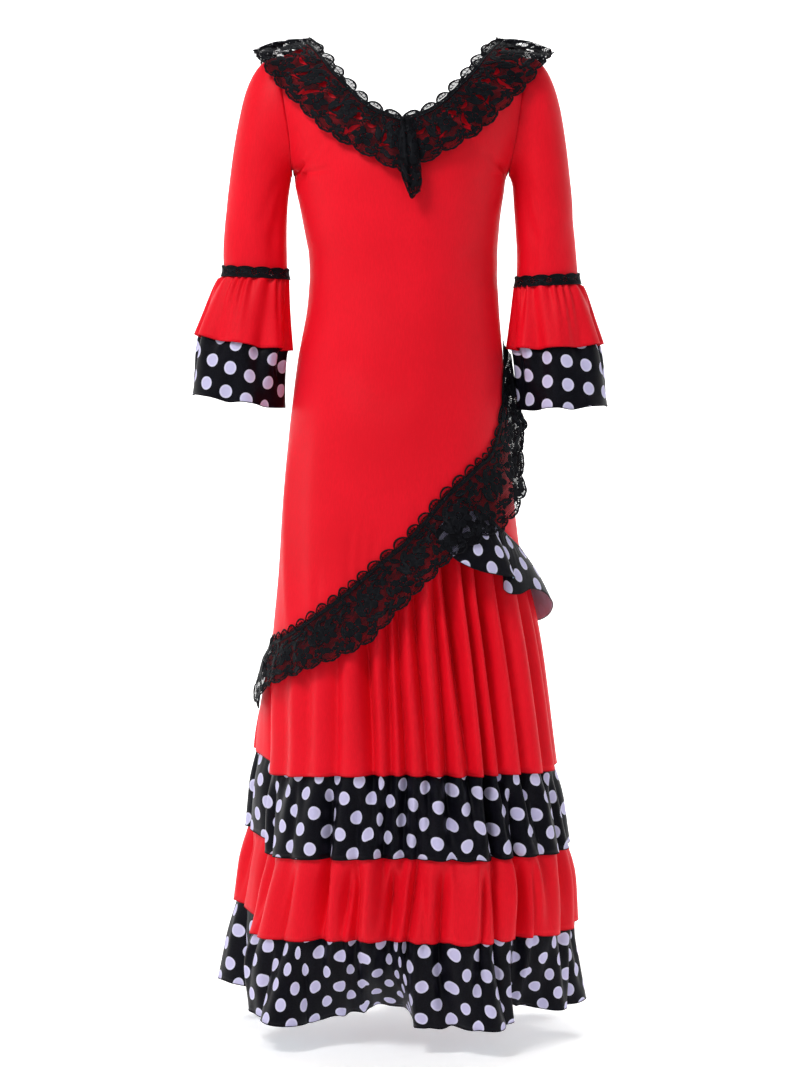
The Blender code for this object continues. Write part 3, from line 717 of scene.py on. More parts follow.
sheath = {
    "neckColumns": 56,
    "sideColumns": 13,
    "sideStart": 87.6,
    # the last columns before the side seam, in degrees, and the cloth turned in at the seam
    "seamColumns": (88.9, 89.6, 90.0),
    "allowance": 5.0,
    "creaseHeight": 1.45,
    "upperRows": 34,
    "lowerRows": 52,
    "topRounds": 30,
    # x, z, x, z, half width, height
    "creases": {
        "front": (
            (-113, -133, -104, -124, 2.6, -3.2), (-112, -136, -101, -136, 2.4, -2.6),
            (109, -133, 101, -124, 2.6, -2.8), (108, -137, 98, -139, 2.4, -2.4),
            (-121, -415, -123, -600, 3.2, 1.7), (-108, -400, -108, -610, 9, -1.6),
            (-112, -132, -84, -108, 3, -1.8), (-113, -134, -78, -132, 3, -1.6),
            (-112, -138, -88, -158, 3.4, -1.5), (-113, -128, -98, -98, 3, -1),
            (108, -130, 84, -112, 3.2, -1.4), (109, -134, 80, -140, 3.4, -1.2),
            (108, -140, 92, -166, 4, -1), (-96, -214, -52, -226, 8, -1.3),
            (-94, -238, -40, -246, 9, -1.1), (97, -208, 60, -222, 8, -1.2),
            (97, -240, 48, -250, 9, -1.2), (-70, -318, 2, -372, 26, -2.4),
            (58, -330, 20, -420, 24, -1.4), (-55, -500, -57, -560, 3, -1.3),
            (-42, -505, -45, -552, 3, -1.1), (-30, -500, -34, -545, 3.2, -0.9),
            (16, -470, 12, -505, 3.2, -0.9), (-88, -540, -90, -596, 5, -1),
            (20, -150, 30, -300, 22, 1.2),
        ),
        "back": (
            (-108, -420, -110, -600, 7, -1.7), (104, -400, 108, -500, 8, -1.6),
            (-111, -134, -82, -124, 3.2, -1.6), (-110, -138, -86, -156, 3.4, -1.3),
            (108, -132, 80, -120, 3.2, -1.5), (108, -138, 88, -160, 3.6, -1.2),
            (-90, -212, 10, -232, 9, -2.2), (94, -224, 4, -244, 9, -2), (-80, -246, 30, -262, 8, -1.6),
            (60, -262, -30, -276, 9, -1.4), (-60, -320, -10, -390, 24, -2),
            (-50, -505, -52, -560, 3.2, -1.2), (-20, -490, -24, -542, 3.2, -1),
            (24, -455, 20, -498, 3.2, -1),
        ),
    },
}


def sheathPoints(front):
    neck = form["neckAzimuth"]
    side = np.append(np.linspace(neck, sheath["sideStart"], sheath["sideColumns"] + 1), sheath["seamColumns"])
    middle = np.linspace(-neck, neck, sheath["neckColumns"] + 1)
    azimuth = np.concatenate([-side[::-1], middle[1:-1], side]) + (0 if front else 180)
    top = np.full(azimuth.shape, -30.0)
    for _ in range(sheath["topRounds"]):
        x = bodyPoint(azimuth, top)[..., 0]
        top = (top + np.interp(np.abs(x), topEdge["x"], topEdge["front" if front else "back"])) / 2
    top = np.minimum(top, shoulderLine(bodyPoint(azimuth, top)[..., 0]) - form["seamGap"])
    bottom = hipSeam(azimuth)
    upper = (1 - np.cos(np.linspace(0, math.pi, sheath["upperRows"] + 1))) / 2
    lower = np.linspace(0, 1, sheath["lowerRows"] + 1)[1:]
    zUpper = top[:, None] + (form["armpit"] - top)[:, None] * upper[None, :]
    zLower = form["armpit"] + (bottom - form["armpit"])[:, None] * lower[None, :]
    z = np.concatenate([zUpper, zLower], axis=1)
    points = bodyPoint(azimuth[:, None] + 0 * z, z)
    normals = normalsOf(points)
    points = creased(points, normals, sheath["creases"]["front" if front else "back"], sheath["creaseHeight"])
    width = runLength(points, 0)
    fromSeam = np.minimum(width, width[-1:] - width)
    points = dented(points, normals, fromSeam)
    inward = np.array([-sheath["allowance"], 0, 0])
    first, last = (edge + inward * np.sign(edge[:, :1]) for edge in (points[0], points[-1]))
    return np.concatenate([first[None], points, last[None]])


for half in ("Front", "Back"):
    points = sheathPoints(half == "Front")
    sewCloth(f"sheath{half}", points, "red", [f"sheath_{half.lower()}"])
print("sheath: front and back")


# sleeves, by distance from the middle

sleeves = {
    "left": (
        (-236, 187, 120.5, 32), (-212, 187.5, 121, 32), (-187, 186, 121, 32),
        (-162, 183.5, 119.5, 32), (-147, 182, 117.5, 32.5),
    ),
    "right": (
        (-244, 183.5, 118.5, 32), (-216, 181, 119, 32), (-190, 179, 117.5, 32),
        (-162, 177, 115.5, 32), (-147, 176, 114.5, 32.5),
    ),
}
sleeves = {side: table(("z", "outer", "inner", "depth"), rows) for side, rows in sleeves.items()}
sleeveCut = {
    "columns": 84,
    "capRows": 22,
    "armRows": 26,
    "capFullness": 0.25,
    "capRise": 2.0,
    # x, z, x, z, half width, height, on the outside-left of the middle; turned over for the other side
    "creases": (
        (-124, -148, -136, -204, 5, -1.5), (-128, -136, -146, -180, 4.5, -1.2),
        (-136, -190, -134, -240, 6, -1.3), (-172, -60, -178, -150, 9, -1.0),
        (-180, -170, -160, -228, 8, -0.8),
    ),
}
sides = {"left": -1, "right": 1}


# a level ring of a sleeve: turn 0 is its outer side, 90 its front
def sleeveRing(side, z, turn):
    outer, inner, depth = (read(sleeves[side], name, z) for name in ("outer", "inner", "depth"))
    angle = np.radians(turn)
    x = (outer + inner) / 2 + (outer - inner) / 2 * np.cos(angle)
    return np.stack([sides[side] * x, -depth * np.sin(angle), z + 0 * x], axis=-1)


def ringTurns(side, columns):
    turn = np.linspace(0, 360, columns + 1)
    return -turn if sides[side] > 0 else turn


# the cap fans from the armhole to the first level ring; the arm goes on down to the cuff
def sleevePoints(side):
    sign = sides[side]
    turn = ringTurns(side, sleeveCut["columns"])
    angle = np.radians(turn)
    z = (form["armholeTop"] + form["armpit"]) / 2 + (form["armholeTop"] - form["armpit"]) / 2 * np.cos(angle)
    edge = bodyPoint(sign * 90.0, z)[..., 0] + sign * form["seamGap"]
    start = np.stack([edge, -form["armholeDepth"] * np.sin(angle), z], axis=-1)
    heights = sleeves[side]["z"]
    end = sleeveRing(side, np.full(turn.shape, heights[-1]), turn)
    knee = (start + end) / 2
    knee[:, 0] = end[:, 0] + sleeveCut["capFullness"] * (start[:, 0] - end[:, 0])
    knee[:, 2] = z + sleeveCut["capRise"] * (1 + 2 * np.cos(angle))
    rings = []
    for t in np.linspace(0, 1, sleeveCut["capRows"] + 1):
        rings.append((1 - t) ** 2 * start + 2 * t * (1 - t) * knee + t**2 * end)
    for level in np.linspace(heights[-1], heights[0], sleeveCut["armRows"] + 1)[1:]:
        rings.append(sleeveRing(side, np.full(turn.shape, level), turn))
    points = np.stack(rings, axis=1)
    normals = normalsOf(points, around=True)
    front = normals[..., 1] < 0.2
    creases = [(-sign * x0, z0, -sign * x1, z1, *shape) for x0, z0, x1, z1, *shape in sleeveCut["creases"]]
    points = np.where(front[..., None], creased(points, normals, creases), points)
    return dented(points, normals, runLength(points, 1))


for side in sides:
    sewCloth(f"sleeve{side.title()}", sleevePoints(side), "red", [f"sleeve_{side}"],
             True)
print("sleeves")


# gathered tiers

# how far each tier swings out or in, by azimuth
lobes = table(
    ("azimuth", "tier1", "tier2", "tier3", "tier4"),
    (
        (-180, 4, 5, 6, 12), (-162, -4, -5, -6, -24), (-142, 4, 4, 6, 6), (-110, 23, 22, 20, 33),
        (-84, -4, -10, -14, -38), (-62, -2, -4, 4, 2), (-43, 4, 2, 2, 24), (-25, 4, 2, -4, -38),
        (-14, 6, 4, 0, -56), (-6, 4, -4, -4, -70), (2, 4, 0, 4, -8), (14, 4, 6, 10, -2),
        (23, 4, 8, 12, 24), (35, -2, 2, 0, -4), (41, -4, -2, -6, -62), (49, -2, 0, 0, -46),
        (64, 0, 2, 4, -6), (84, -4, 2, 5, 5), (106, -6, -6, -8, -34), (128, 6, 6, 8, 14),
        (149, -4, -5, -6, -36), (165, 4, 4, 6, 10),
    ),
)
# how much lower the first tier's hem hangs; the tiers under it follow, and the last takes most back
hemDrops = table(
    ("azimuth", "drop"),
    (
        (-180, 0), (-130, 0), (-108, -5), (-86, 0), (-77, 8), (-55, 8), (-35, 4), (0, 1), (18, 3),
        (40, 4), (75, 6), (105, 0), (180, 0),
    ),
)
# troughs between the gathers on each tier's front: azimuth, depth and half width in degrees
troughNames = ("azimuth", "depth", "width")
troughs = (
    (
        (-81, 17, 2.6), (-60, 2.5, 6.5), (-43, 3.5, 4.0), (-29, 6, 3.0), (-14, 15, 2.6),
        (-7, 11, 1.6), (-1.8, 12, 1.5), (5.3, 14, 1.8), (12.6, 14, 2.2), (21.5, 22, 2.7),
        (29.4, 13, 1.7), (37.2, 18, 2.3), (50, 9, 2.4), (64, 7, 2.6), (79, 6, 2.8),
    ),
    (
        (-82, 20, 2.4), (-68, 5, 2.4), (-50, 4, 2.4), (-31.5, 10, 1.9), (-19, 6, 2.0),
        (-9.8, 9, 1.8), (-2.6, 9, 1.6), (1.4, 6, 1.2), (14, 2.5, 2.4), (29.4, 13, 1.9),
        (41, 9, 2.0), (55, 6, 2.4), (70, 7, 2.6), (83, 5, 2.8),
    ),
    (
        (-81, 20, 2.4), (-64, 5, 2.4), (-47, 5, 1.6), (-31, 8, 2.6), (-22.4, 8, 1.5),
        (-17.5, 10, 1.9), (-5.6, 15, 2.2), (0, 9, 1.4), (4.4, 4, 1.2), (9.8, 11, 2.2),
        (23.2, 8, 1.3), (29, 7, 1.3), (42.5, 11, 1.8), (49, 5, 1.4), (66, 6, 2.6), (80, 6, 2.6),
    ),
    (
        (-81, 16, 2.4), (-52, 5, 2.4), (-36, 6, 2.0), (-19, 5, 2.0), (-3, 3, 2.0), (12, 3, 2.4),
        (21, 3, 2.0), (30, 4, 2.0), (57, 4, 2.4), (72, 5, 2.6), (88, 5, 2.6),
    ),
)
troughs = [table(troughNames, rows) for rows in troughs]
tiers = {
    "names": ("tierOneRed", "tierTwoDotted", "tierThreeRed", "tierFourDotted"),
    "nodes": ("tier1_red", "tier2_dotted", "tier3_red", "tier4_dotted"),
    "hems": (-745.0, -831.0, -912.0, -996.0),
    "tilts": (0.0, 0.0, 3.0, 9.0),
    "drops": (1.0, 0.0, 0.0, -0.8),
    "columns": 560,
    "rows": (40, 19, 19, 22),
    "lap": 14.0,
    "inset": 3.9,
    "hemLift": 0.4,
    "knee": 0.35,
    "backTroughs": 13,
    "troughSharpness": 1.6,
    "crown": 0.085,
    "crownMost": 3.6,
    "stand": (4.0, 3.2, 3.4, 2.0),
    "drift": 1.4,
    "depth": (1.5, 1.5, 1.6, 1.8),
    "fineGathers": 0.5,
    "finePeriod": 3.6,
    "fineFade": 14.0,
    "overhang": (0.0, 0.02, 0.03, 0.045),
    "mostOverhang": 9.0,
    "hemThread": 0.55,
}


# all the troughs round a tier: the front's from its table, the back's an uneven row
def troughRing(tier):
    order = np.arange(tiers["backTroughs"])
    back = {
        "azimuth": 92 + (order + 0.5) * 174 / len(order) + 3.2 * np.sin(order * 2.4 + tier),
        "depth": 8.5 + 3.5 * np.sin(order * 1.9 + 2 * tier),
        "width": 2.1 + 0.5 * np.sin(order * 1.3 + tier),
    }
    rows = {name: np.concatenate([troughs[tier - 1][name], back[name]]) for name in troughNames}
    order = np.argsort(rows["azimuth"])
    return {name: rows[name][order] for name in troughNames}


# where azimuths fall on a ring of places that closes on itself
def onRing(ring, azimuth):
    turned = (azimuth - ring[0]) % 360 + ring[0]
    return turned, np.clip(np.searchsorted(ring, turned, side="right") - 1, 0, len(ring) - 2)


# height of the gathered cloth over its smooth ring, in mm: round crowns and narrow troughs
def gatherWave(azimuth, tier, fallen):
    rows = troughRing(tier)
    order = np.arange(len(rows["depth"]))
    reach = 0.10 + 0.16 * (1 + np.sin(order * 1.7 + tier))
    fading = 0.25 * (1 + np.sin(order * 2.9 + tier)) * eased((fallen - 0.55) / 0.45)
    depth = rows["depth"] * tiers["depth"][tier - 1] * (0.45 + 0.55 * eased(fallen / reach)) * (1 - fading)
    ring = rows["azimuth"] + tiers["drift"] * (1 - fallen) * np.sin(order * 2.4 + 1.3 * tier)
    ring = np.append(ring, ring[0] + 360)
    depth = np.append(depth, depth[0])
    width = np.append(rows["width"], rows["width"][0]) * (1.15 - 0.15 * fallen)
    turned, low = onRing(ring, azimuth)
    wide = ring[low + 1] - ring[low]
    phase = (turned - ring[low]) / wide
    crown = np.minimum(tiers["crown"] * wide * 2.6, tiers["crownMost"]) * np.sin(math.pi * phase) ** 2
    power = tiers["troughSharpness"]
    left = depth[low] * np.exp(-(((turned - ring[low]) / width[low]) ** power))
    right = depth[low + 1] * np.exp(-(((ring[low + 1] - turned) / width[low + 1]) ** power))
    return tiers["stand"][tier - 1] + crown - left - right


# a tier's swing out or in from the plain form
def lobe(azimuth, tier):
    heights = np.append(lobes[f"tier{tier}"], lobes[f"tier{tier}"][0])
    ring = np.append(lobes["azimuth"], lobes["azimuth"][0] + 360)
    turned, low = onRing(ring, azimuth)
    return heights[low] + np.diff(heights)[low] * eased((turned - ring[low]) / np.diff(ring)[low])


def hemHeight(azimuth, tier):
    level = tiers["hems"][tier - 1] - tiers["tilts"][tier - 1] * np.cos(np.radians(azimuth))
    around = (azimuth + 180) % 360 - 180
    return level - tiers["drops"][tier - 1] * read(hemDrops, "drop", around)


# small crowded gathers at a seam, gone a little way below it
def fineGathers(azimuth, fallen):
    wave = np.sin(azimuth * 360 / tiers["finePeriod"] * math.pi / 180 + 1.6 * np.sin(azimuth * 0.21))
    wave = wave * (0.7 + 0.3 * np.sin(azimuth * 0.37 + 1))
    return tiers["fineGathers"] * wave * np.exp(-fallen / tiers["fineFade"])


def firstTierGrowth(azimuth, z):
    seam = hipSeam(azimuth)
    below = np.clip(seam - z, 0, None)
    return 0.12 * eased(below / 25) + 0.88 * eased(below / (seam - hemHeight(azimuth, 1))) ** 0.8


# how far the tops of the first tier's folds stand off the worn form
def overFirstTier(azimuth, z):
    top = tiers["stand"][0] + tiers["crownMost"]
    return np.maximum(lobe(azimuth, 1), 0) * firstTierGrowth(azimuth, z) + top * foldGrowth(azimuth, z)


def foldGrowth(azimuth, z):
    below = np.clip(hipSeam(azimuth) - z, 0, None)
    return eased(below / 16) * (0.50 + 0.50 * eased(below / 80))


# the first tier at t from its slanted seam, 0, to its hem, 1
def firstTierPoint(azimuth, t):
    seam = hipSeam(azimuth) - 2 * form["seamGap"]
    z = seam + (hemHeight(azimuth, 1) - seam) * t
    below = seam - z
    fold = gatherWave(azimuth, 1, t) * foldGrowth(azimuth, z)
    fold = fold + fineGathers(azimuth, below) * eased(below / 5)
    return standingOff(azimuth, z, lobe(azimuth, 1) * firstTierGrowth(azimuth, z) + fold)


# sideways push that makes deep folds overhang their valleys
def overhung(azimuth, tier, stand):
    step = 0.5
    slope = (foldAt(azimuth + step, tier) - foldAt(azimuth - step, tier)) / (2 * step)
    most = tiers["mostOverhang"]
    return most * np.tanh(-tiers["overhang"][tier - 1] * slope * stand / most)


def foldAt(azimuth, tier):
    return lobe(azimuth, tier) + gatherWave(azimuth, tier, 1.0)


# a tier's hem, its smooth hem, its end under the tier above and the way it leaves there
def tierFrame(azimuth, tier):
    z = hemHeight(azimuth, tier)
    out = outward(azimuth, z)
    if tier == 1:
        hem = firstTierPoint(azimuth, 1.0)
        return {"hem": hem, "slope": unit(hem - firstTierPoint(azimuth, 0.96)), "out": out}
    above = tierFrame(azimuth, tier - 1)
    end = above["hem"] - above["out"] * tiers["inset"]
    smooth = standingOff(azimuth, z, lobe(azimuth, tier))
    aside = np.stack([-out[..., 1], out[..., 0], 0 * z], axis=-1)
    stand = lobe(azimuth, tier) - np.mean(lobe(azimuth, tier))
    smooth = smooth + aside * overhung(azimuth, tier, stand)[..., None]
    length = end[..., 2].mean() - z
    run = np.linalg.norm((smooth - end)[..., :2], axis=-1)
    drop = np.sqrt(length**2 - tiers["hemLift"] * np.minimum(run, length) ** 2)
    smooth[..., 2] = end[..., 2] - drop
    knee = end + above["slope"] * length[..., None] * tiers["knee"]
    fold = gatherWave(azimuth, tier, 1.0)
    hem = smooth + out * fold[..., None]
    slope = unit(smooth - knee)
    return dict(hem=hem, smooth=smooth, end=end, knee=knee, aboveSlope=above["slope"], slope=slope, out=out)


def tierPoints(azimuth, tier):
    rows = tiers["rows"][tier - 1]
    if tier == 1:
        return np.stack([firstTierPoint(azimuth, t) for t in np.linspace(0, 1, rows + 1) ** 1.1], axis=1)
    made = tierFrame(azimuth, tier)
    start = made["end"] - made["aboveSlope"] * tiers["lap"]
    lines = [start, start * 0.5 + made["end"] * 0.5]
    for t in np.linspace(0, 1, rows + 1):
        swing = (1 - t) ** 2 * made["end"] + 2 * t * (1 - t) * made["knee"] + t**2 * made["smooth"]
        fold = gatherWave(azimuth, tier, t) * eased(t / 0.6) ** 0.7
        fold = fold + fineGathers(azimuth, t * 80) * eased(t / 0.05)
        lines.append(swing + made["out"] * fold[..., None])
    return np.stack(lines, axis=1)


# azimuths round the ring, spaced by the length of the tier's hem and not by angle
def evenColumns(tier):
    fine = np.linspace(-180, 180, 4001)
    hem = tierFrame(fine, tier)["hem"]
    run = runLength(hem, 0)
    return np.interp(np.linspace(0, run[-1], tiers["columns"] + 1), run, fine)


def sewTiers():
    for tier, (name, node) in enumerate(zip(tiers["names"], tiers["nodes"]), 1):
        look = "dotted" if "dotted" in node else "red"
        nodes = [f"{node}_front", f"{node}_back"]
        points = tierPoints(evenColumns(tier), tier)
        sewCloth(name, points, look, nodes, True, tiers["hemThread"])


sewTiers()
print("tiers: red, dotted, red, dotted")


# cuffs: a red and a dotted ruffle on each sleeve

cuffs = {
    "grain": -40.0,
    "phase": {"red": 0.6, "dotted": 2.9},
    # each ruffle's hem height, middle, half width and half depth
    "left": {"top": -237.6, "dotTop": -296.0, "tilt": 0.16,
             "red": (-308.0, 166, 48, 46), "dotted": (-368.0, 174, 48.5, 48)},
    "right": {"top": -245.6, "dotTop": -300.0, "tilt": 0.05,
              "red": (-312.0, 158.5, 47.5, 46), "dotted": (-375.0, 168.5, 48, 48)},
}
ruffle = {
    "columns": 228,
    "rows": 22,
    "bell": 0.62,
    "waves": {"red": 8, "dotted": 5},
    "waveHeight": {"red": 5.4, "dotted": 3.6},
    "troughPower": 1.6,
    "inset": 5.0,
    "fineGathers": 2.5,
    "fineCount": 21,
    "fineFade": 0.38,
    "hemThread": 0.5,
}


# rings from the start ring down a bell to the hem
def cuffRuffle(side, start, look):
    hem, middle, wide, deep = cuffs[side][look]
    phase = cuffs["phase"][look]
    angle = np.radians(ringTurns(side, ruffle["columns"]))
    wave = np.cos(ruffle["waves"][look] * angle + phase + 0.9 * np.sin(2 * angle + phase))
    wave = 1 - 2 * ((1 - wave) / 2) ** ruffle["troughPower"]
    wave = wave * (0.8 + 0.35 * np.sin(3 * angle + phase))
    crowd = np.sin(ruffle["fineCount"] * angle + 2.2 * np.sin(5 * angle))
    rings = []
    for t in np.linspace(0, 1, ruffle["rows"] + 1):
        swing = t ** ruffle["bell"]
        out = ruffle["waveHeight"][look] * t**0.8 * wave
        small = ruffle["fineGathers"] * crowd * np.exp(-t / ruffle["fineFade"]) * eased(t / 0.04)
        small = small if look == "red" else 0 * small
        x = middle + (wide + out) * np.cos(angle)
        y = -(deep + out) * np.sin(angle)
        z = hem + cuffs[side]["tilt"] * (x - middle) + 1.5 * wave
        end = np.stack([sides[side] * x, y, z], axis=-1)
        ring = start + (end - start) * np.array([swing, swing, t])
        ring[:, 0] += sides[side] * small * np.cos(angle)
        ring[:, 1] -= small * np.sin(angle)
        rings.append(ring)
    return np.stack(rings, axis=1)


def towardsMiddle(ring, side, middle, distance):
    centre = np.array([sides[side] * middle, 0, 0])
    inward = unit((centre - ring) * np.array([1, 1, 0]))
    return ring + inward * distance


def sewCuffs(side):
    sizes = cuffs[side]
    turn = ringTurns(side, ruffle["columns"])
    start = sleeveRing(side, np.full(turn.shape, sleeves[side]["z"][0]), turn)
    start[:, 2] = sizes["top"]
    upper = cuffRuffle(side, start, "red")
    hem, middle = sizes["red"][:2]
    leaving = towardsMiddle(upper[:, -1], side, middle, ruffle["inset"])
    share = (sizes["dotTop"] - sizes["top"]) / (hem - sizes["top"])
    sewn = towardsMiddle(upper[:, round(share * ruffle["rows"])], side, middle, ruffle["inset"])
    lower = np.concatenate([sewn[:, None], cuffRuffle(side, leaving, "dotted")], axis=1)
    for points, look in ((upper, "red"), (lower, "dotted")):
        name, node = f"cuff{look.title()}{side.title()}", f"cuff_{look}_ruffle_{side}"
        sewCloth(name, points, look, [node], True,
                 ruffle["hemThread"], cuffs["grain"])


for side in sides:
    sewCuffs(side)
print("cuffs: red and dotted ruffles")


# dotted flounce at the viewer's right hip

# where it is sewn (azimuth, height) and where its hem hangs (x, y, z)
flounceLine = table(
    ("azimuth", "top", "x", "y", "z"),
    (
        (18, -493, 31, -106, -500), (22, -487, 41, -109, -513), (28, -481, 53, -110, -526),
        (35, -479, 77, -106, -538), (41, -481, 101, -95, -544), (45, -484, 115, -81, -547),
        (48, -487, 112, -70, -551), (51, -491, 103, -71, -558), (54, -495, 107, -79, -563),
        (59, -501, 120, -71, -565), (65, -508, 132, -56, -561), (74, -516, 147, -37, -566),
        (84, -523, 157, -15, -579), (94, -522, 154, 12, -594), (104, -517, 142, 38, -602),
        (114, -508, 134, 60, -596), (122, -501, 116, 84, -590), (131, -491, 102, 108, -588),
        (140, -481, 76, 118, -578), (148, -479, 58, 126, -560), (156, -486, 44, 122, -524),
        (162, -493, 34, 113, -501),
    ),
)
flounce = {"columns": 260, "rows": 24, "off": 1.6, "bulge": 3.0, "clear": 1.6, "fine": 0.7, "hemThread": 0.5}


# pushes points out where they would sink into the first tier
def clearOfTier(points, distance):
    x, y, z = points[..., 0], points[..., 1], points[..., 2]
    across = np.clip(x / read(sections, "right", z), -1, 1)
    azimuth = np.degrees(np.arcsin(spreadPower(across, form["power"] / 2)))
    for front, sign in ((True, -1), (False, 1)):
        turn = azimuth if front else 180 - azimuth
        least = bodyDepth(x, z, front) + overFirstTier(turn, z) + distance
        near = (sign * y > 0) & (np.abs(across) < 0.995)
        points[..., 1] = np.where(near & (sign * y < least), sign * least, points[..., 1])
    return points


def flouncePoints():
    rows = flounceLine
    keys = np.stack([rows["x"], rows["y"], rows["z"]], axis=-1)
    run = runLength(keys, 0)
    s = np.linspace(0, run[-1], flounce["columns"] + 1)
    hem = np.stack([through(run, keys[:, axis], s) for axis in range(3)], axis=-1)
    azimuth = np.interp(s, run, rows["azimuth"])
    top = standingOff(azimuth, read(flounceLine, "top", azimuth), np.full(s.shape, flounce["off"]))
    out = outward(azimuth, top[:, 2])
    lines = []
    for t in np.linspace(0, 1, flounce["rows"] + 1):
        fading = math.exp(-t / 0.25) * min(t / 0.05, 1)
        small = flounce["fine"] * np.sin(s * 0.9 + 2 * np.sin(s * 0.13)) * fading
        bulge = flounce["bulge"] * math.sin(math.pi * t) + small
        lines.append(top + (hem - top) * t + out * bulge[..., None])
    return clearOfTier(np.stack(lines, axis=1), flounce["clear"])


sewCloth("hipFlounce", flouncePoints(), "dotted", ["hip_dotted_flounce"],
         False, flounce["hemThread"])
print("hip flounce")


# lace: flowers, leaves and scrolls on a net, with a corded scalloped edge

# one repeat, in mm: u runs along the lace and v down from its heading, on a lace 58 wide
laceRepeat = {
    "length": 64.0,
    "width": 58.0,
    # u, v, radius, petals, petal depth, turn
    "flowers": (
        (17, 24, 11.0, 6, 2.3, 10), (47, 38, 10.0, 5, 2.3, 40), (48, 11, 7.0, 5, 1.5, 0),
        (22, 46, 6.0, 5, 1.3, 20), (1, 43, 5.2, 5, 1.2, 50),
    ),
    # u, v, turn, length, width
    "leaves": (
        (34, 7.5, 14, 15, 6.5), (33, 50, -8, 14, 6), (7, 12, -52, 17, 7.5), (61, 26, 75, 19, 8),
        (33.5, 35, 112, 15, 6.5), (10, 44, 35, 14, 6.5), (59, 50, 12, 13, 6), (17, 8, -20, 12, 5),
        (62, 9, 60, 13, 6),
    ),
    # middle u, v, radius, from, to, half thickness
    "scrolls": (
        (30, 21, 8.5, 130, 345, 1.5), (57, 21, 9.5, -60, 95, 1.3), (12, 36, 15, 20, 80, 1.4),
        (48, 24, 12, 175, 262, 1.4), (3, 26, 8.5, -75, 100, 1.3),
    ),
    # middle u, v, from and to radius, from and to angle, bars
    "fans": (
        (30, 21, 3.0, 8.5, -110, 30, 7),
        (57, 21, 4.0, 9.5, -40, 80, 6),
        (3, 26, 3.5, 8.5, -60, 80, 6),
    ),
    # middle u, v, radius, from, to, half thickness of the windows left clear
    "windows": (
        (17, 24, 14.6, -80, 5, 2.1), (47, 38, 13.6, 150, 245, 2.1), (48, 11, 10.6, 35, 125, 1.9),
        (33, 27, 7.5, 205, 320, 1.9), (61, 27, 8.5, -55, 50, 1.7), (10, 43, 9.0, 195, 290, 1.6),
        (22, 46, 9.6, -60, 20, 1.5),
    ),
    "scallop": 64.0 / 3,
    "scallopDepth": 4.2,
    "small": 64.0 / 9,
    "smallDepth": 0.9,
    "edgeCord": 0.9,
    "innerCord": 0.55,
    "border": 4.0,
    "loops": {"neck": 31.0, "hip": 17.5},
    "petalSlit": 0.45,
    # the heading band: middle, half width, and its holes' spacing and radius
    "band": (0.6, 2.1, 3.6, 0.75),
    "bead": 0.75,
    # half thickness of the outer and inner arch of each loop, and the inner one's share of the height
    "arches": (0.85, 0.45, 0.45),
    "tiesInLoop": 4.5,
}
laceMake = {
    "flowerStep": {"Front": 1.25, "Back": 1.6},
    "netStep": 2.4,
    "relief": 0.3,
    "flowerLift": 0.4,
    "edgeReach": 2.0,
    "edgeEase": 0.8,
    "cordRadius": 0.75,
    "cordLift": 0.5,
    "cordStep": 1.0,
    # how much of a lace's outline is cloth, its scallops and windows taken off
    "cover": 0.85,
}


def repeatOff(u, v, centreU, centreV):
    half = laceRepeat["length"] / 2
    return (u - centreU + half) % laceRepeat["length"] - half, v - centreV


def flowerEdge(u, v, centreU, centreV, radius, petals, depth, turn):
    du, dv = repeatOff(u, v, centreU, centreV)
    r = np.hypot(du, dv)
    phase = (np.arctan2(dv, du) + math.radians(turn)) * petals / (2 * math.pi) % 1
    outline = r - radius - depth * np.cos(2 * math.pi * phase)
    slit = laceRepeat["petalSlit"] - np.abs(phase - 0.5) * 2 * math.pi / petals * r
    slit = np.where(r > 0.42 * radius, slit, -9)
    ring = 0.5 - np.abs(r - 0.3 * radius)
    return np.maximum(np.maximum(outline, slit), ring)


def leafEdge(u, v, centreU, centreV, turn, length, width):
    du, dv = repeatOff(u, v, centreU, centreV)
    angle = math.radians(turn)
    along = du * math.cos(angle) + dv * math.sin(angle)
    off = np.abs(dv * math.cos(angle) - du * math.sin(angle))
    share = np.abs(2 * along / length)
    past = np.hypot(np.abs(along) - length / 2, off)
    outline = np.where(share < 1, off - width / 2 * (1 - share**2), past)
    vein = np.where(share < 0.62, 0.35 - off, -9)
    return np.maximum(outline, vein)


# angle off an arc's middle direction, and half the arc's angle
def aroundArc(du, dv, start, end):
    middle, half = math.radians((start + end) / 2), math.radians((end - start) / 2)
    return (np.arctan2(dv, du) - middle + math.pi) % (2 * math.pi) - math.pi, middle, half


def scrollEdge(u, v, centreU, centreV, radius, start, end, thick):
    du, dv = repeatOff(u, v, centreU, centreV)
    angle, middle, half = aroundArc(du, dv, start, end)
    angle = np.clip(angle, -half, half)
    reach = np.hypot(du - radius * np.cos(angle + middle), dv - radius * np.sin(angle + middle))
    return reach - thick * (1.25 - np.abs(angle) / half)


# small bars like a ladder between two arcs
def fanEdge(u, v, centreU, centreV, inner, outer, start, end, bars):
    du, dv = repeatOff(u, v, centreU, centreV)
    r = np.hypot(du, dv)
    angle, _, half = aroundArc(du, dv, start, end)
    step = 2 * half / bars
    bar = np.abs((angle + half) % step - step / 2) * r - 0.5
    ring = np.abs(r - (inner + outer) / 2) - (outer - inner) / 2
    return np.maximum.reduce([bar, ring, np.abs(angle) * r - half * r])


# how far down the free edge lies: large scallops, each with small ones along it
def scallopLine(u, width):
    large = np.abs(np.sin(math.pi * u / laceRepeat["scallop"])) ** 0.75
    small = np.abs(np.sin(math.pi * u / laceRepeat["small"])) ** 0.8
    return width - laceRepeat["scallopDepth"] * (1 - large) - laceRepeat["smallDepth"] * (1 - small)


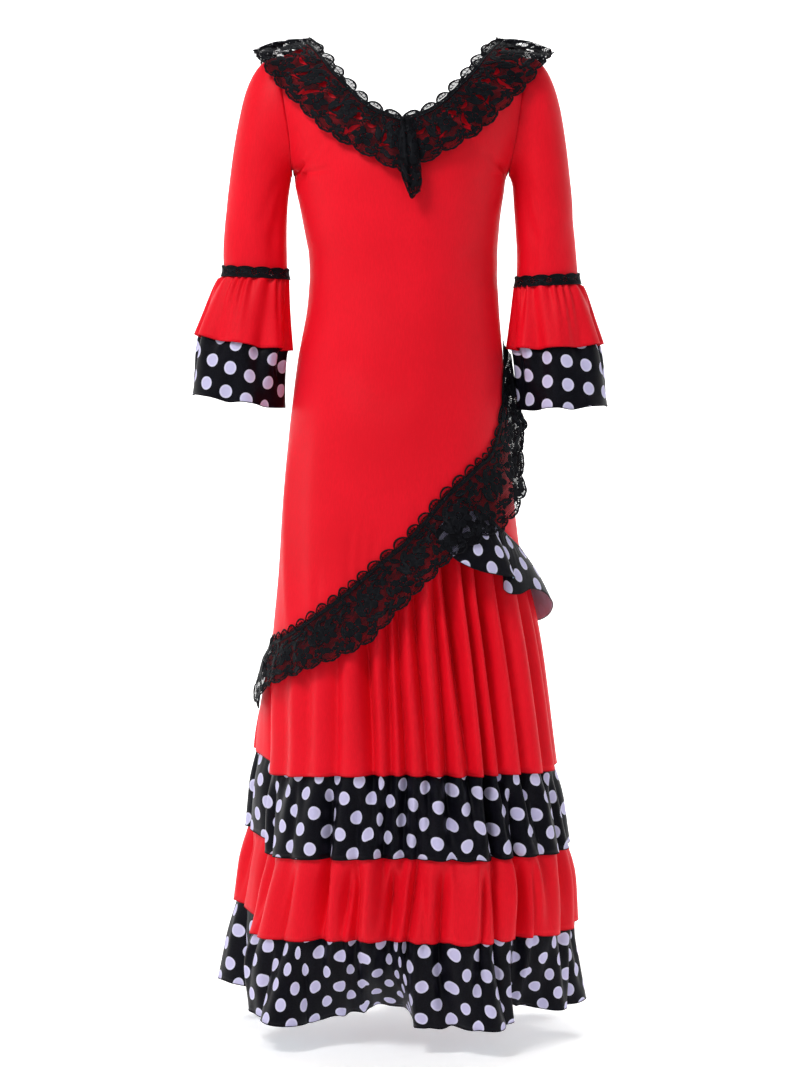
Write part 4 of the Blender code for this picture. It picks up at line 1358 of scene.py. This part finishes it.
# how far above the heading the loops stand
def loopLine(u, height, loop):
    return -height * np.abs(np.sin(math.pi * u / loop)) ** 0.45


# distance to the nearest motif of one kind
def nearestOf(kind, edge, u, scaled):
    return np.minimum.reduce([edge(u, scaled, *row) for row in laceRepeat[kind]])


# signed distance to the embroidered parts, in mm, negative inside them
def flowersOfLace(u, v, width, loops, loop=laceRepeat["loops"]["hip"], clear=True):
    scaled = v * laceRepeat["width"] / width
    motifs = (("flowers", flowerEdge), ("leaves", leafEdge), ("fans", fanEdge))
    inner = np.minimum.reduce([nearestOf(kind, edge, u, scaled) for kind, edge in motifs])
    windows = nearestOf("windows", scrollEdge, u, scaled)
    inner = np.maximum(inner, 0.5 - windows) if clear else inner
    scrolls = nearestOf("scrolls", scrollEdge, u, scaled)
    inner = np.minimum.reduce([inner, np.abs(windows - 0.6) - 0.5, scrolls])
    fromEdge = scallopLine(u, width) - v
    border = laceRepeat["border"]
    inner = np.maximum(inner, border - 0.6 - fromEdge)
    cords = np.minimum(np.abs(fromEdge - laceRepeat["edgeCord"]) - laceRepeat["edgeCord"],
                       np.abs(fromEdge - border) - laceRepeat["innerCord"])
    # beads in the border, and a heading band with holes
    half = laceRepeat["small"] / 2
    fromBead = half - np.abs((u + half) % (2 * half) - half)
    bead = np.hypot(fromBead, fromEdge - border * 0.6) - laceRepeat["bead"]
    middle, wide, spacing, hole = laceRepeat["band"]
    holes = hole - np.hypot((u + spacing / 2) % spacing - spacing / 2, (v - middle) * 1.2)
    heading = np.maximum(np.abs(v - middle) - wide, holes)
    inner = np.maximum(inner, 1.0 - v)
    cloth = np.minimum.reduce([inner, cords, bead, heading])
    # the loops over the heading: an outer and an inner arch with ties between them
    height = -loopLine(u, loops, loop)
    thick, thin, share = laceRepeat["arches"]
    outer = np.abs(-v - height) - thick
    inner = np.abs(-v - share * height) - thin
    step = loop / laceRepeat["tiesInLoop"]
    bar = np.abs((u + step / 2) % step - step / 2) - 0.02 * loop
    ties = np.maximum.reduce([bar, -v - height, share * height + v])
    cloth = np.minimum(cloth, np.where(v < 0, np.minimum.reduce([outer, inner, ties]), 9))
    return np.maximum(cloth, -fromEdge)


# signed distance to the net, which fills the lace but for its windows
def netOfLace(u, v, width, loops, loop=laceRepeat["loops"]["hip"], clear=True):
    windows = nearestOf("windows", scrollEdge, u, v * laceRepeat["width"] / width)
    fromEdge = scallopLine(u, width) - v
    inside = np.maximum(0.8 - fromEdge, (0.9 if clear else 0.45) * loopLine(u, loops, loop) - v)
    return np.maximum(inside, np.where((v > 2) & clear, -windows, -9))


# running mean that keeps the ends in place
def smoothed(values, reach):
    padded = np.pad(values, reach, mode="edge")
    return np.convolve(padded, np.full(2 * reach + 1, 1 / (2 * reach + 1)), mode="valid")


# the surface a lace lies on, with the flat distance along it and its width there
def laceGround(points, shares, loops, loop=laceRepeat["loops"]["hip"]):
    below = np.linalg.norm(np.diff(points, axis=1), axis=-1)[:, shares[1:] > 1e-6].sum(axis=1)
    width = smoothed(below, len(points) // 40)
    middle = points[:, np.argmin(np.abs(shares - 0.55))]
    return {"points": points, "normals": normalsOf(points), "along": runLength(middle, 0), "shares": shares,
            "width": width, "loops": loops, "loop": loop}


def widthAt(ground, u):
    return np.interp(u, ground["along"], ground["width"])


def loopsAt(ground, u):
    return np.interp(u, ground["along"], ground["loops"])


# points of the worn lace over flat places (u, v), lifted off its ground
def onLace(ground, u, v, lift):
    columns, rows = ground["points"].shape[:2]
    column = np.interp(u, ground["along"], np.arange(columns))
    row = np.interp(v / widthAt(ground, u), ground["shares"], np.arange(rows))
    c = np.clip(column.astype(int), 0, columns - 2)
    r = np.clip(row.astype(int), 0, rows - 2)
    f, g = (column - c)[..., None], (row - r)[..., None]

    def between(grid):
        near = grid[c, r] * (1 - g) + grid[c, r + 1] * g
        return near * (1 - f) + (grid[c + 1, r] * (1 - g) + grid[c + 1, r + 1] * g) * f

    return between(ground["points"]) + unit(between(ground["normals"])) * np.asarray(lift)[..., None]


# flat mesh of all that lies inside an outline: whole cells, and cells clipped where the edge crosses
def cutOut(distance, us, vs):
    inside = distance < 0
    spots, faces = [], []
    node = np.full(distance.shape, -1)
    node[inside] = np.arange(inside.sum())
    at = np.argwhere(inside)
    spots += [(us[i], vs[j], distance[i, j]) for i, j in at]
    crossed = {}
    for axis in (0, 1):
        step = (1, 0) if axis == 0 else (0, 1)
        a = distance[: distance.shape[0] - step[0], : distance.shape[1] - step[1]]
        b = distance[step[0]:, step[1]:]
        for i, j in np.argwhere((a < 0) != (b < 0)):
            t = a[i, j] / (a[i, j] - b[i, j])
            crossed[axis, i, j] = len(spots)
            spots.append((us[i] + t * step[0] * (us[1] - us[0]), vs[j] + t * step[1] * (vs[1] - vs[0]), 0.0))
    count = inside[:-1, :-1].astype(int) + inside[1:, :-1] + inside[:-1, 1:] + inside[1:, 1:]
    for i, j in np.argwhere(count > 0):
        if count[i, j] == 4:
            faces.append((node[i, j], node[i, j + 1], node[i + 1, j + 1], node[i + 1, j]))
            continue
        # round the cell: each corner, and the side that follows it
        walk = (
            ((i, j), (1, i, j)),
            ((i, j + 1), (0, i, j + 1)),
            ((i + 1, j + 1), (1, i + 1, j)),
            ((i + 1, j), (0, i, j)),
        )
        face = []
        for corner, side in walk:
            if node[corner] >= 0:
                face.append(node[corner])
            if side in crossed:
                face.append(crossed[side])
        if len(face) > 2:
            faces.append(tuple(face))
    return np.array(spots), faces


# one layer of a lace, cut by its outline and laid on its ground
def laceSheet(name, ground, outline, step, lift, relief, cloth, wall, around=False):
    us = np.linspace(0, ground["along"][-1], round(ground["along"][-1] / step) + 1)
    vs = np.arange(-np.max(ground["loops"]) - step, np.max(ground["width"]) + step, step)
    u, v = np.meshgrid(us, vs, indexing="ij")
    distance = outline(u, v, widthAt(ground, u), loopsAt(ground, u))
    spots, faces = cutOut(distance, us, vs)
    depth = np.clip(-spots[:, 2], 0, laceMake["edgeReach"])
    rise = lift + relief * (1 - np.exp(-depth / laceMake["edgeEase"]))
    place = onLace(ground, spots[:, 0], spots[:, 1], rise)
    mesh = bpy.data.meshes.new(name)
    mesh.from_pydata((place * mm).tolist(), [], faces)
    piece = bpy.data.objects.new(name, mesh)
    bpy.context.scene.collection.objects.link(piece)
    flat = spots[cornersOf(mesh), :2] * (1, -1) * mm
    mesh.uv_layers.new(name="cloth").data.foreach_set("uv", flat.ravel())
    edge = mesh.attributes.new("laceEdge", "FLOAT", "POINT")
    edge.data.foreach_set("value", depth)
    mesh.materials.append(cloth)
    mesh.shade_smooth()
    if around:
        mergeSeam(piece)
    if wall:
        thicken(piece, wall)
    return piece


# a cord's path along an edge of the lace
def laceLine(ground, line, inset, lift, gap=0.0):
    u = np.arange(gap, ground["along"][-1] - gap, laceMake["cordStep"])
    v = line(u) + inset
    return onLace(ground, u, v, np.full(u.shape, lift))


# net, embroidery and edge cords of one length of lace; its windows are left clear or netted over
def sewLace(name, ground, clear, *nodes):
    net = laceSheet(f"{name}Net", ground, lambda *at: netOfLace(*at, ground["loop"], clear),
                    laceMake["netStep"], 0.0, 0.0, netCloth, 0)
    sewnOn(net, "black_lace", *nodes)
    step = laceMake["flowerStep"]["Back" if name.endswith("Back") else "Front"]
    flowers = laceSheet(f"{name}Flowers", ground, lambda *at: flowersOfLace(*at, ground["loop"], clear), step,
                        laceMake["flowerLift"], laceMake["relief"], flowersCloth, lace["wall"])
    sewnOn(flowers, "black_lace")
    radius, rise = laceMake["cordRadius"], laceMake["cordLift"]
    cords = threadAlong(f"{name}Cords", [
        laceLine(ground, lambda u: scallopLine(u, widthAt(ground, u)), -radius, rise),
        laceLine(ground, lambda u: loopLine(u, loopsAt(ground, u), ground["loop"]), radius, rise),
    ], radius, blackThread)
    sewnOn(cords, "black_lace")
    return net, [flowers, cords]


# waves of a gathered lace over its plain fall, with smaller ripples between them
def frill(sizes, phase, drift):
    wave = sizes["wave"] * (1 + np.cos(sizes["waves"] * phase + drift))
    return wave + sizes["ripple"] * np.sin(sizes["rippleWaves"] * phase + 3 * np.sin(2 * phase))


neckLine = table(
    ("turn", "neckX", "neckZ", "edgeX", "edgeZ", "lift", "loops"),
    (
        (0, 104, 6, 158, -11, 2, 12), (1, 86, -13, 149, -25, 7, 11), (2, 72, -30, 130, -44, 8, 10.5),
        (3, 57, -46, 107, -67, 6, 9), (4, 42, -61, 80, -94, 5, 7.5), (5, 24, -73, 44, -116, 5, 6.5),
        (6, 0, -81, 1, -138, 5, 5.0),
    ),
)
neckLace = {
    "columns": 420,
    "rows": 36,
    "clear": 1.6,
    "waves": 7,
    "wave": 2.0,
    "ripple": 0.8,
    "rippleWaves": 23,
    "roll": 2.2,
    "arch": 3.5,
}


def neckLaceGround(front):
    facing = -1 if front else 1
    last = neckLine["turn"][-1]
    place = np.linspace(-1, 1, neckLace["columns"] + 1) * last
    place = place if front else place[::-1]
    turn = last - np.abs(place)
    side = np.where(place < 0, -1.0, 1.0)
    row = {name: read(neckLine, name, turn) for name in neckLine}
    shares = np.linspace(-0.2, 1.0, neckLace["rows"] + 1)
    w = shares[None, :]
    x = side[:, None] * (row["neckX"][:, None] + (row["edgeX"] - row["neckX"])[:, None] * w)
    z = row["neckZ"][:, None] + (row["edgeZ"] - row["neckZ"])[:, None] * w
    y = facing * (bodyDepth(x, z, front) + 0.8 * eased(turn[:, None] / 0.5))
    low = np.clip(w, 0, 1)
    phase = 2 * math.pi * place[:, None] / 12
    wave = frill(neckLace, phase, 0.5 if front else 2.0)
    off = neckLace["clear"] + row["lift"][:, None] * np.sqrt(low) + wave * low
    rolled = math.pi / 2 * eased(turn / neckLace["roll"])
    out = np.stack([0 * turn, facing * np.sin(rolled), np.cos(rolled)], axis=-1)
    points = np.stack([x, y, z], axis=-1) + out[:, None, :] * off[..., None]
    points[..., 2] += neckLace["arch"] * np.sin(math.pi * low) * (1 - rolled[:, None] * 2 / math.pi)
    return laceGround(points, shares, row["loops"], laceRepeat["loops"]["neck"])


hipLine = table(
    ("azimuth", "heading", "drop", "flare"),
    (
        (-90, -628, 66, 0), (-82, -624, 62, 0), (-74, -619, 50, 1), (-62, -612, 50, 5),
        (-38, -585, 56, 5), (-21, -558, 66, 5), (-12, -540, 72, 5), (0, -516, 62, 5),
        (10, -492, 60, 5), (21, -466, 62, 5), (32, -448, 66, 5), (42, -434, 70, 5), (52, -422, 80, 7),
        (62, -398, 86, 12), (72, -366, 92, 14), (82, -330, 84, 12), (90, -312, 62, 1),
    ),
)
hipLace = {
    "columns": 460,
    "rows": 36,
    "clear": 1.4,
    "waves": 8,
    "wave": 2.4,
    "ripple": 1.0,
    "rippleWaves": 27,
    "loops": 9.0,
    "sideGapDegrees": 0.3,
    "endEase": 26.0,
    "tucks": (3.5, 7.0),
    "overFlounce": 1.9,
    "mostLift": 18.0,
    "liftEase": 40,
}


# how far round the dress the lace moves as it drops square to its heading, in degrees
def laceSlant(azimuth, heading, drop):
    ring = bodyPoint(azimuth, heading)
    run = runLength(ring[:, :2], 0)
    angle = np.arctan(np.gradient(heading, run))
    shift = drop * np.sin(angle) * np.cos(angle) / np.gradient(run, azimuth)
    fade = eased((90 - np.abs(azimuth)) / hipLace["endEase"])
    return smoothed(shift * fade, len(azimuth) // 24)


# lifts a lace off the piece under it, and smooths the lift into its surroundings
def laidOver(points, under, gap, facing):
    columns, rows = under.shape[:2]
    spot = np.arange(columns * rows).reshape(columns, rows)
    quads = np.stack([spot[:-1, :-1], spot[:-1, 1:], spot[1:, 1:], spot[1:, :-1]], axis=-1).reshape(-1, 4)
    tree = BVHTree.FromPolygons(under.reshape(-1, 3).tolist(), quads.tolist())
    low, high = under.reshape(-1, 3).min(axis=0), under.reshape(-1, 3).max(axis=0)
    level = [True, False, True]
    outside = np.all((points > low) & (points < high), axis=-1, where=level) & (facing * points[..., 1] > 0)
    inside = np.all((points >= low - 2) & (points <= high + 2), axis=-1) | outside
    lift = np.zeros(points.shape[:2])
    for c, r in np.argwhere(inside):
        x, y, z = points[c, r]
        hit = tree.ray_cast((x, facing * 400, z), (0, -facing, 0))[0]
        if hit and facing * hit[1] > 0:
            lift[c, r] = np.clip(facing * (hit[1] - y) + gap, 0, hipLace["mostLift"])
    for _ in range(hipLace["liftEase"]):
        padded = np.pad(lift, 1, mode="edge")
        around = (padded[:-2, 1:-1] + padded[2:, 1:-1] + padded[1:-1, :-2] + padded[1:-1, 2:]) / 4
        lift = np.maximum(lift, 0.96 * around)
    lifted = points.copy()
    lifted[..., 1] += facing * lift
    return lifted


def hipLaceGround(front):
    reach = 90 - hipLace["sideGapDegrees"]
    azimuth = np.linspace(-reach, reach, hipLace["columns"] + 1)
    heading, drop = read(hipLine, "heading", azimuth), read(hipLine, "drop", azimuth)
    slant = laceSlant(azimuth, heading, drop)
    if not front:
        azimuth, heading, slant = azimuth[::-1], heading[::-1], slant[::-1]
    shares = np.linspace(-0.25, 1.0, hipLace["rows"] + 1)
    w = shares[None, :]
    spread = np.clip(azimuth[:, None] + slant[:, None] * w, -reach, reach)
    low = azimuth + slant
    bottom = read(hipLine, "heading", low) - read(hipLine, "drop", low)
    z = heading[:, None] + (bottom - heading)[:, None] * w
    turn = spread if front else 180 - spread
    down = np.clip(w, 0, 1)
    phase = 2 * math.pi * azimuth[:, None] / 180
    wave = frill(hipLace, phase, 0.8 * np.sin(3 * phase)) * eased((azimuth[:, None] + 90) / 16)
    wave = wave * (0.25 + 0.75 * eased((90 - azimuth[:, None]) / 12))
    flare = read(hipLine, "flare", spread)
    # both ends stand off the skirt a little
    leftTuck, rightTuck = hipLace["tucks"]
    tuck = leftTuck * eased((-70 - spread) / 8) + rightTuck * eased((spread - 80) / 8)
    tuck = tuck * eased((w + 0.1) / 0.25)
    off = overFirstTier(turn, z) + hipLace["clear"] + (flare * down + wave) * down + tuck
    points = laidOver(standingOff(turn, z, off), flouncePoints(), hipLace["overFlounce"], -1 if front else 1)
    return laceGround(points, shares, np.full(len(azimuth), hipLace["loops"]))


def sewLaces():
    for half in ("Front", "Back"):
        for place, groundOf, under in (("neck", neckLaceGround, []), ("hip", hipLaceGround, ["tierOneRed"])):
            ground = groundOf(half == "Front")
            name, node = f"{place}Lace{half}", f"{place}_lace_{half.lower()}"
            net, parts = sewLace(name, ground, place == "neck", node)


sewLaces()
print("lace: neck and hip")


# pleat at the centre front, where the ends of the neck lace are folded together

pleat = {
    "x": 9.0,
    "top": -80.0,
    "point": -164.0,
    "half": 12.0,
    "off": 5.0,
    "lift": 9.6,
    "ridge": 7.0,
    "leftRise": 21.0,
    "rightRise": 9.0,
    "columns": 44,
    "rows": 60,
    "layerGap": 1.3,
    "layerShifts": (29, 13),
    "layerStep": 1.2,
    # across the pleat, and how far each fold stands out
    "folds": ((-1.0, 0.0), (-0.62, 0.75), (-0.42, 1.0), (-0.12, 0.25), (0.25, 0.62), (0.6, 0.45),
              (1.0, -0.1)),
}


def pleatGround():
    across = np.linspace(-1, 1, pleat["columns"] + 1)[:, None]
    fallen = np.linspace(0, 1, pleat["rows"] + 1)[None, :]
    half = pleat["half"] * (0.58 + 0.5 * fallen - 0.42 * fallen**8)
    x = pleat["x"] + across * half - 5.0 * (1 - fallen)
    rise = np.where(across < 0, pleat["leftRise"], pleat["rightRise"]) * np.abs(across)
    z = pleat["top"] + (pleat["point"] - pleat["top"]) * fallen + rise * fallen
    folds = np.array(pleat["folds"])
    drift = np.clip(across - 0.25 * (fallen - 0.5), -1, 1)
    height = pleat["ridge"] * (0.25 + 0.95 * fallen - 0.8 * fallen**4)
    ridge = height * through(folds[:, 0], folds[:, 1], drift)
    off = pleat["off"] + pleat["lift"] * eased(np.minimum(fallen / 0.62, 1)) ** 0.8
    y = -(bodyDepth(x, z, True) + off + ridge)
    points = np.stack([x, y, z + 0 * x], axis=-1)
    return laceGround(points, np.linspace(0, 1, pleat["rows"] + 1), np.full(len(across), 2.5))


def sewPleat():
    ground = pleatGround()
    inner = dict(ground, points=ground["points"] - ground["normals"] * pleat["layerGap"])
    net, parts = sewLace("centrePleat", ground, False, "neck_lace_centre_pleat")
    # the lace's own folded layers behind, with their pattern moved along
    flowerShift, netShift = pleat["layerShifts"]
    under = laceSheet("centrePleatUnder", inner, lambda u, *at: flowersOfLace(u + flowerShift, *at),
                      pleat["layerStep"], 0.0, 0.2, flowersCloth, lace["wall"])
    folded = laceSheet("centrePleatFold", inner, lambda u, *at: netOfLace(u + netShift, *at),
                       laceMake["netStep"], -0.4, 0.0, netCloth, 0)
    for layer in (under, folded):
        sewnOn(layer, "black_lace")


# lace bands over the seams of sleeves and cuffs

band = {
    "height": 12.0,
    "rise": 7.5,
    "off": 1.5,
    "tilt": 0.055,
    "middle": 152.0,
    "columns": 120,
    "rows": 8,
    "scallop": 18.0,
    "scallopDepth": 1.9,
    "eyelet": 0.72,
    "petals": 2.3,
    "step": 0.85,
    "relief": 0.35,
    "cord": 0.55,
    "cover": 0.9,
}


def bandTop(u, scallop):
    return band["scallopDepth"] * (1 - np.abs(np.sin(math.pi * u / scallop)) ** 0.7)


def bandPattern(scallop):
    def pattern(u, v, width, loops):
        du = (u + scallop / 2) % scallop - scallop / 2
        dv = v - band["height"] * 0.52
        turn = np.arctan2(dv, du) % (math.pi / 3) - math.pi / 6
        r = np.hypot(du, dv)
        petal = np.hypot(r * np.cos(turn) - band["petals"], r * np.sin(turn)) - band["eyelet"]
        eyelets = np.minimum(petal, r - band["eyelet"] * 0.8)
        leaf = np.hypot((np.abs(du) - scallop * 0.29) / 3.0, dv) - band["eyelet"] * 0.45
        return np.maximum.reduce([bandTop(u, scallop) - v, v - band["height"], -eyelets, -leaf])
    return pattern


def sewBand(side):
    turn = ringTurns(side, band["columns"]) + 180
    levels = sleeves[side]["z"][0] + band["rise"] - np.linspace(0, 1, band["rows"] + 1) * band["height"]
    rings = [sleeveRing(side, np.full(turn.shape, level), turn) for level in levels]
    points = np.stack(rings, axis=1)
    points[..., 2] += band["tilt"] * (np.abs(points[..., 0]) - band["middle"])
    shares = np.linspace(0, 1, band["rows"] + 1)
    swell = band["off"] + 1.6 * shares**2
    points = points + normalsOf(points, True) * swell[None, :, None]
    ground = laceGround(points, shares, np.full(len(turn), 0.5))
    length = ground["along"][-1]
    scallop = length / round(length / band["scallop"])
    name = f"laceBand{side.title()}"
    piece = laceSheet(name, ground, bandPattern(scallop), band["step"], 0.0, band["relief"], flowersCloth,
                      lace["wall"], True)
    sewnOn(piece, "black_lace", f"sleeve_lace_band_{side}")
    cords = threadAlong(f"{name}Cords", [
        laceLine(ground, lambda u: bandTop(u, scallop), 0.4, 0.2)[:-1],
        laceLine(ground, lambda u: 0 * u + band["height"], -0.5, 0.2)[:-1],
    ], band["cord"], blackThread, True)
    sewnOn(cords, "black_lace")


sewPleat()
for side in sides:
    sewBand(side)
print("lace: pleat and sleeve bands")
